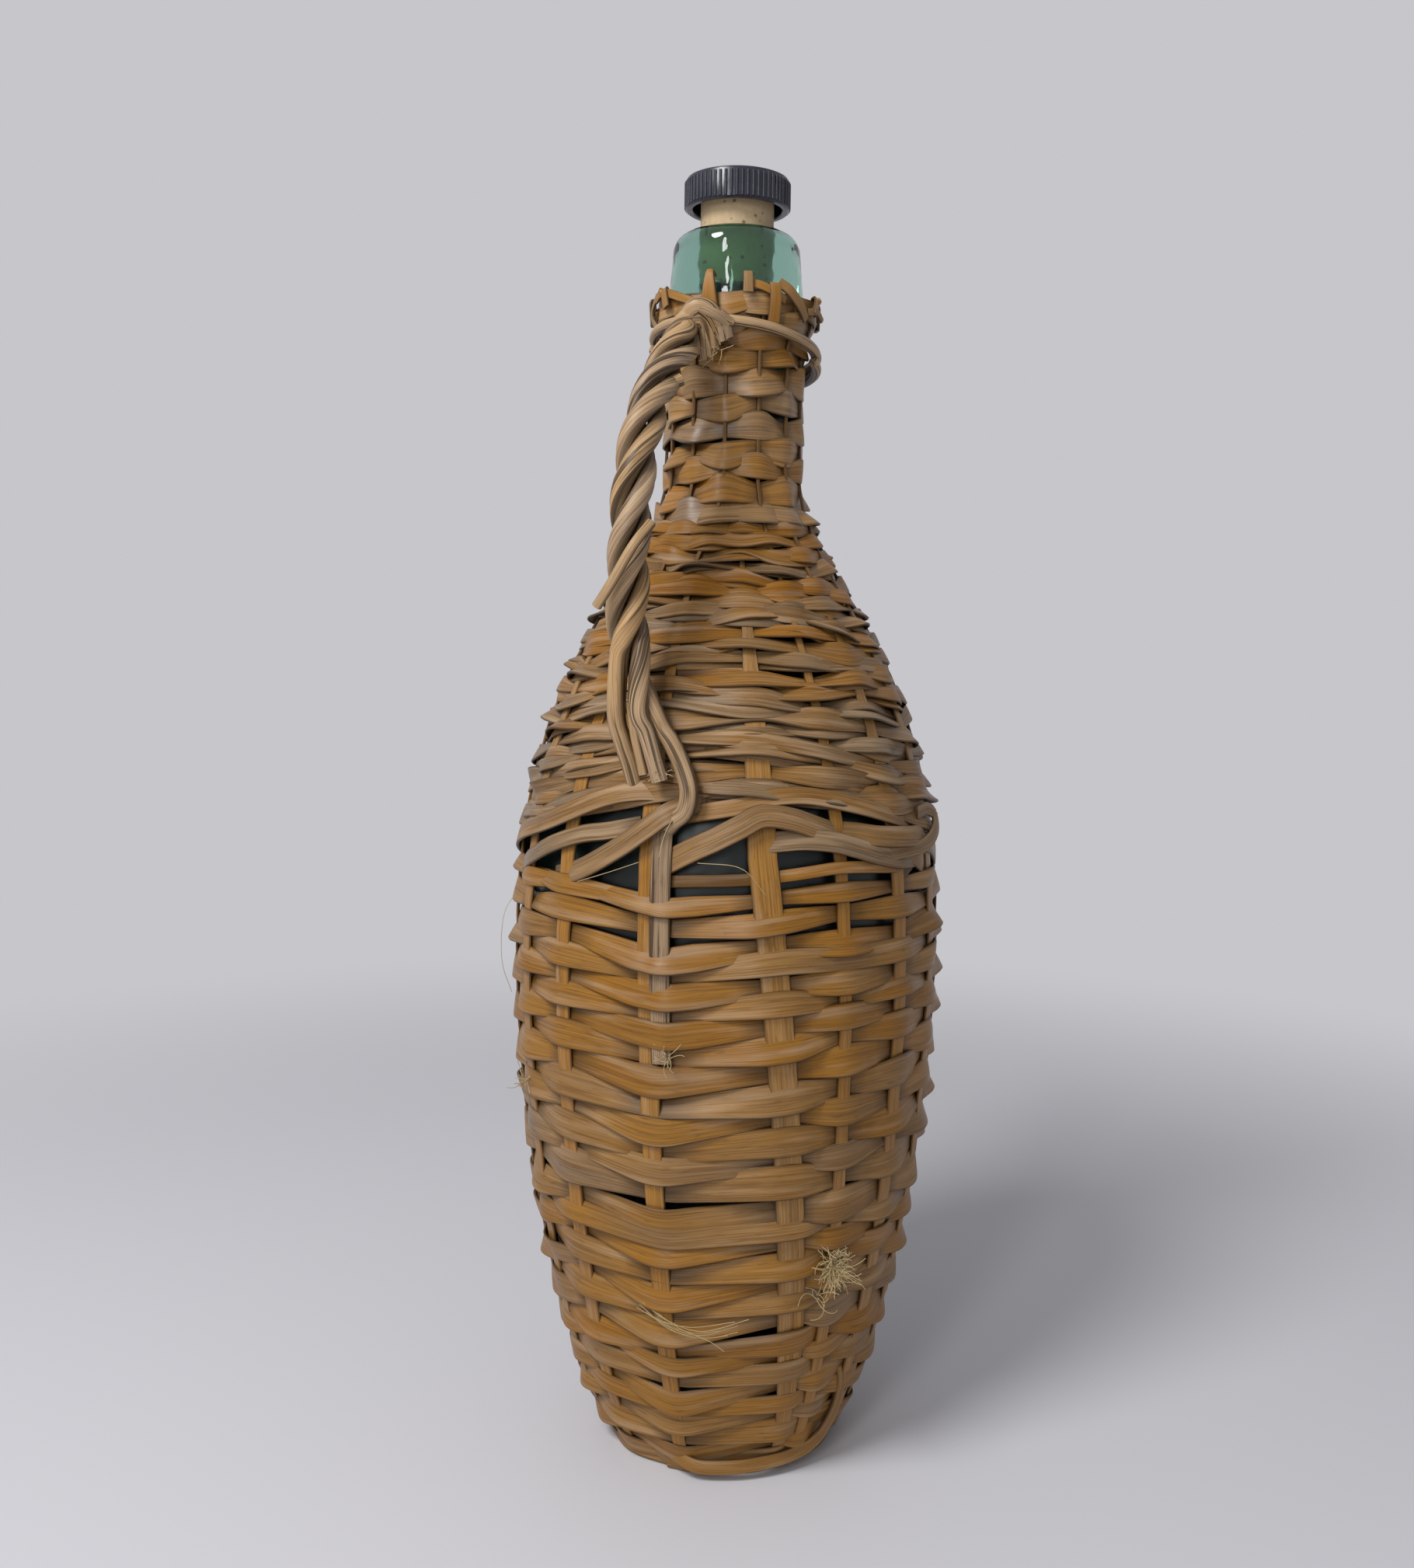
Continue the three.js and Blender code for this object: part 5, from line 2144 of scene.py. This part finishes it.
@dataclass(frozen=True)
class Lamp:
    """Soft lamp that looks at the middle of the bottle."""

    name: str
    watts: float
    breadth: float
    tall: float
    left: float  # of the bottle, as the camera sees it
    front: float
    above: float

    def hang(self, azimuth: float, aim: float) -> None:
        """Hang the lamp.

        Args:
            azimuth: Angle of the camera round the bottle.
            aim: Height that the lamp looks at.
        """
        data = bpy.data.lights.new(self.name, "AREA")
        data.shape = "ELLIPSE"
        data.size, data.size_y = self.breadth * MM, self.tall * MM
        data.energy = self.watts
        spin = Matrix.Rotation(math.radians(azimuth), 4, "Z")
        place = spin @ Vector((-self.left, -self.front, self.above)) * MM
        away = place - Vector((0.0, 0.0, aim * MM))
        turn = away.to_track_quat("Z", "Y").to_matrix().to_4x4()
        shown(self.name, data).matrix_world = Matrix.Translation(place) @ turn


@dataclass
class Studio:
    """Pale floor, soft light and the camera."""

    azimuth: float = 25.0
    distance: float = 402.0
    height: float = 208.7
    focal_pixels: float = 1900.0
    frame_pixels: tuple[int, int] = (1820, 2018)
    axis_pixel: Pair = (940.8, 830.0)
    roll: float = 0.86
    sensor: float = 36.0
    floor_size: float = 30000.0
    floor_colour: str = "#dad9de"
    floor_roughness: float = 0.6
    fade: Pair = (260.0, 620.0)
    backdrop: str = "#c6c6cb"
    fill_colour: str = "#eef0f4"
    fill: float = 0.33
    lamp_aim: float = 160.0
    lamps: tuple[Lamp, ...] = (
        Lamp("soft_box", watts=8.0, breadth=380.0, tall=380.0, left=480.0, front=560.0, above=900.0),
        Lamp("strip_light", watts=1.8, breadth=110.0, tall=450.0, left=280.0, front=850.0, above=500.0),
    )

    def camera(self) -> None:
        """Set the camera where the photograph was taken from."""
        width, height = self.frame_pixels
        data = bpy.data.cameras.new("studio_camera")
        data.sensor_fit = "VERTICAL"
        data.sensor_height = self.sensor
        data.lens = self.sensor * self.focal_pixels / height
        data.shift_x = (width / 2 - self.axis_pixel[0]) / height
        data.shift_y = (self.axis_pixel[1] - height / 2) / height
        data.clip_start = 0.01
        data.clip_end = 100.0
        camera = shown("studio_camera", data)
        place = around(self.distance, self.height, self.azimuth)[0] * MM
        turn = Matrix.Rotation(math.radians(self.azimuth), 4, "Z") @ Matrix.Rotation(math.pi / 2, 4, "X")
        roll = Matrix.Rotation(math.radians(self.roll), 4, "Z")
        camera.matrix_world = Matrix.Translation(place) @ turn @ roll
        bpy.context.scene.camera = camera

    def seen(self, tree: Tree) -> Node:
        """Tell rays that show a surface from those that only light it.

        Args:
            tree: Tree of the material or the world.

        Returns:
            Node that gives 1 for camera, glossy and transmission rays.
        """
        ray = add_node(tree, "ShaderNodeLightPath").outputs
        seen = ray["Is Camera Ray"]
        for name in ("Is Glossy Ray", "Is Transmission Ray"):
            seen = add_node(tree, MATH, (seen, ray[name]), operation="MAXIMUM")
        return seen

    def lights(self) -> None:
        """Hang the lamps, and fill from a pale world."""
        for lamp in self.lamps:
            lamp.hang(self.azimuth, self.lamp_aim)
        world = bpy.data.worlds.new("pale_room")
        tree = cleared(world)
        fill = add_node(tree, "ShaderNodeBackground", (linear(self.fill_colour), self.fill))
        wall = add_node(tree, "ShaderNodeBackground", (linear(self.backdrop), 1.0))
        mix = add_node(tree, "ShaderNodeMixShader", (self.seen(tree), fill, wall))
        add_node(tree, "ShaderNodeOutputWorld", (mix,))
        bpy.context.scene.world = world

    def floor(self) -> None:
        """Lay a wide pale floor that fades into the backdrop."""
        half = self.floor_size / 2 * MM
        mesh = bpy.data.meshes.new("studio_floor")
        points = [(-half, -half, 0.0), (half, -half, 0.0), (half, half, 0.0), (-half, half, 0.0)]
        mesh.from_pydata(points, [], [(0, 1, 2, 3)])
        made = bpy.data.materials.new("painted_table")
        tree = cleared(made)
        inputs = {"Base Color": linear(self.floor_colour), "Roughness": self.floor_roughness}
        paint = add_node(tree, PRINCIPLED, inputs)
        wall = add_node(tree, "ShaderNodeEmission", (linear(self.backdrop), 1.0))
        place = add_node(tree, COORDINATES).outputs["Object"]
        away = add_node(tree, VECTOR_MATH, (place,), operation="LENGTH").outputs["Value"]
        near, far = (distance * MM for distance in self.fade)
        fade = add_node(tree, MAP_RANGE, (away, near, far), interpolation_type="SMOOTHSTEP")
        share = add_node(tree, MATH, (fade, self.seen(tree)), operation="MULTIPLY")
        add_node(tree, OUTPUT, (add_node(tree, "ShaderNodeMixShader", (share, paint, wall)),))
        mesh.materials.append(made)
        shown("studio_floor", mesh)

    def build(self) -> None:
        """Set up the studio."""
        bpy.context.scene.view_settings.view_transform = "Standard"
        self.camera()
        self.lights()
        self.floor()


def main() -> None:
    """Build the studio and every part of the bottle."""
    logging.basicConfig(level=logging.INFO, format="%(name)s %(message)s")
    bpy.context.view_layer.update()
    outline = Outline()
    Studio().build()
    GlassBottle(outline).dress()
    Stopper(outline).dress()
    jacket = Jacket(outline, CaneSweep())
    jacket.dress()
    Handle(jacket).dress()
    Frays(outline, jacket.sweep).dress()


if __name__ == "__main__":
    main()
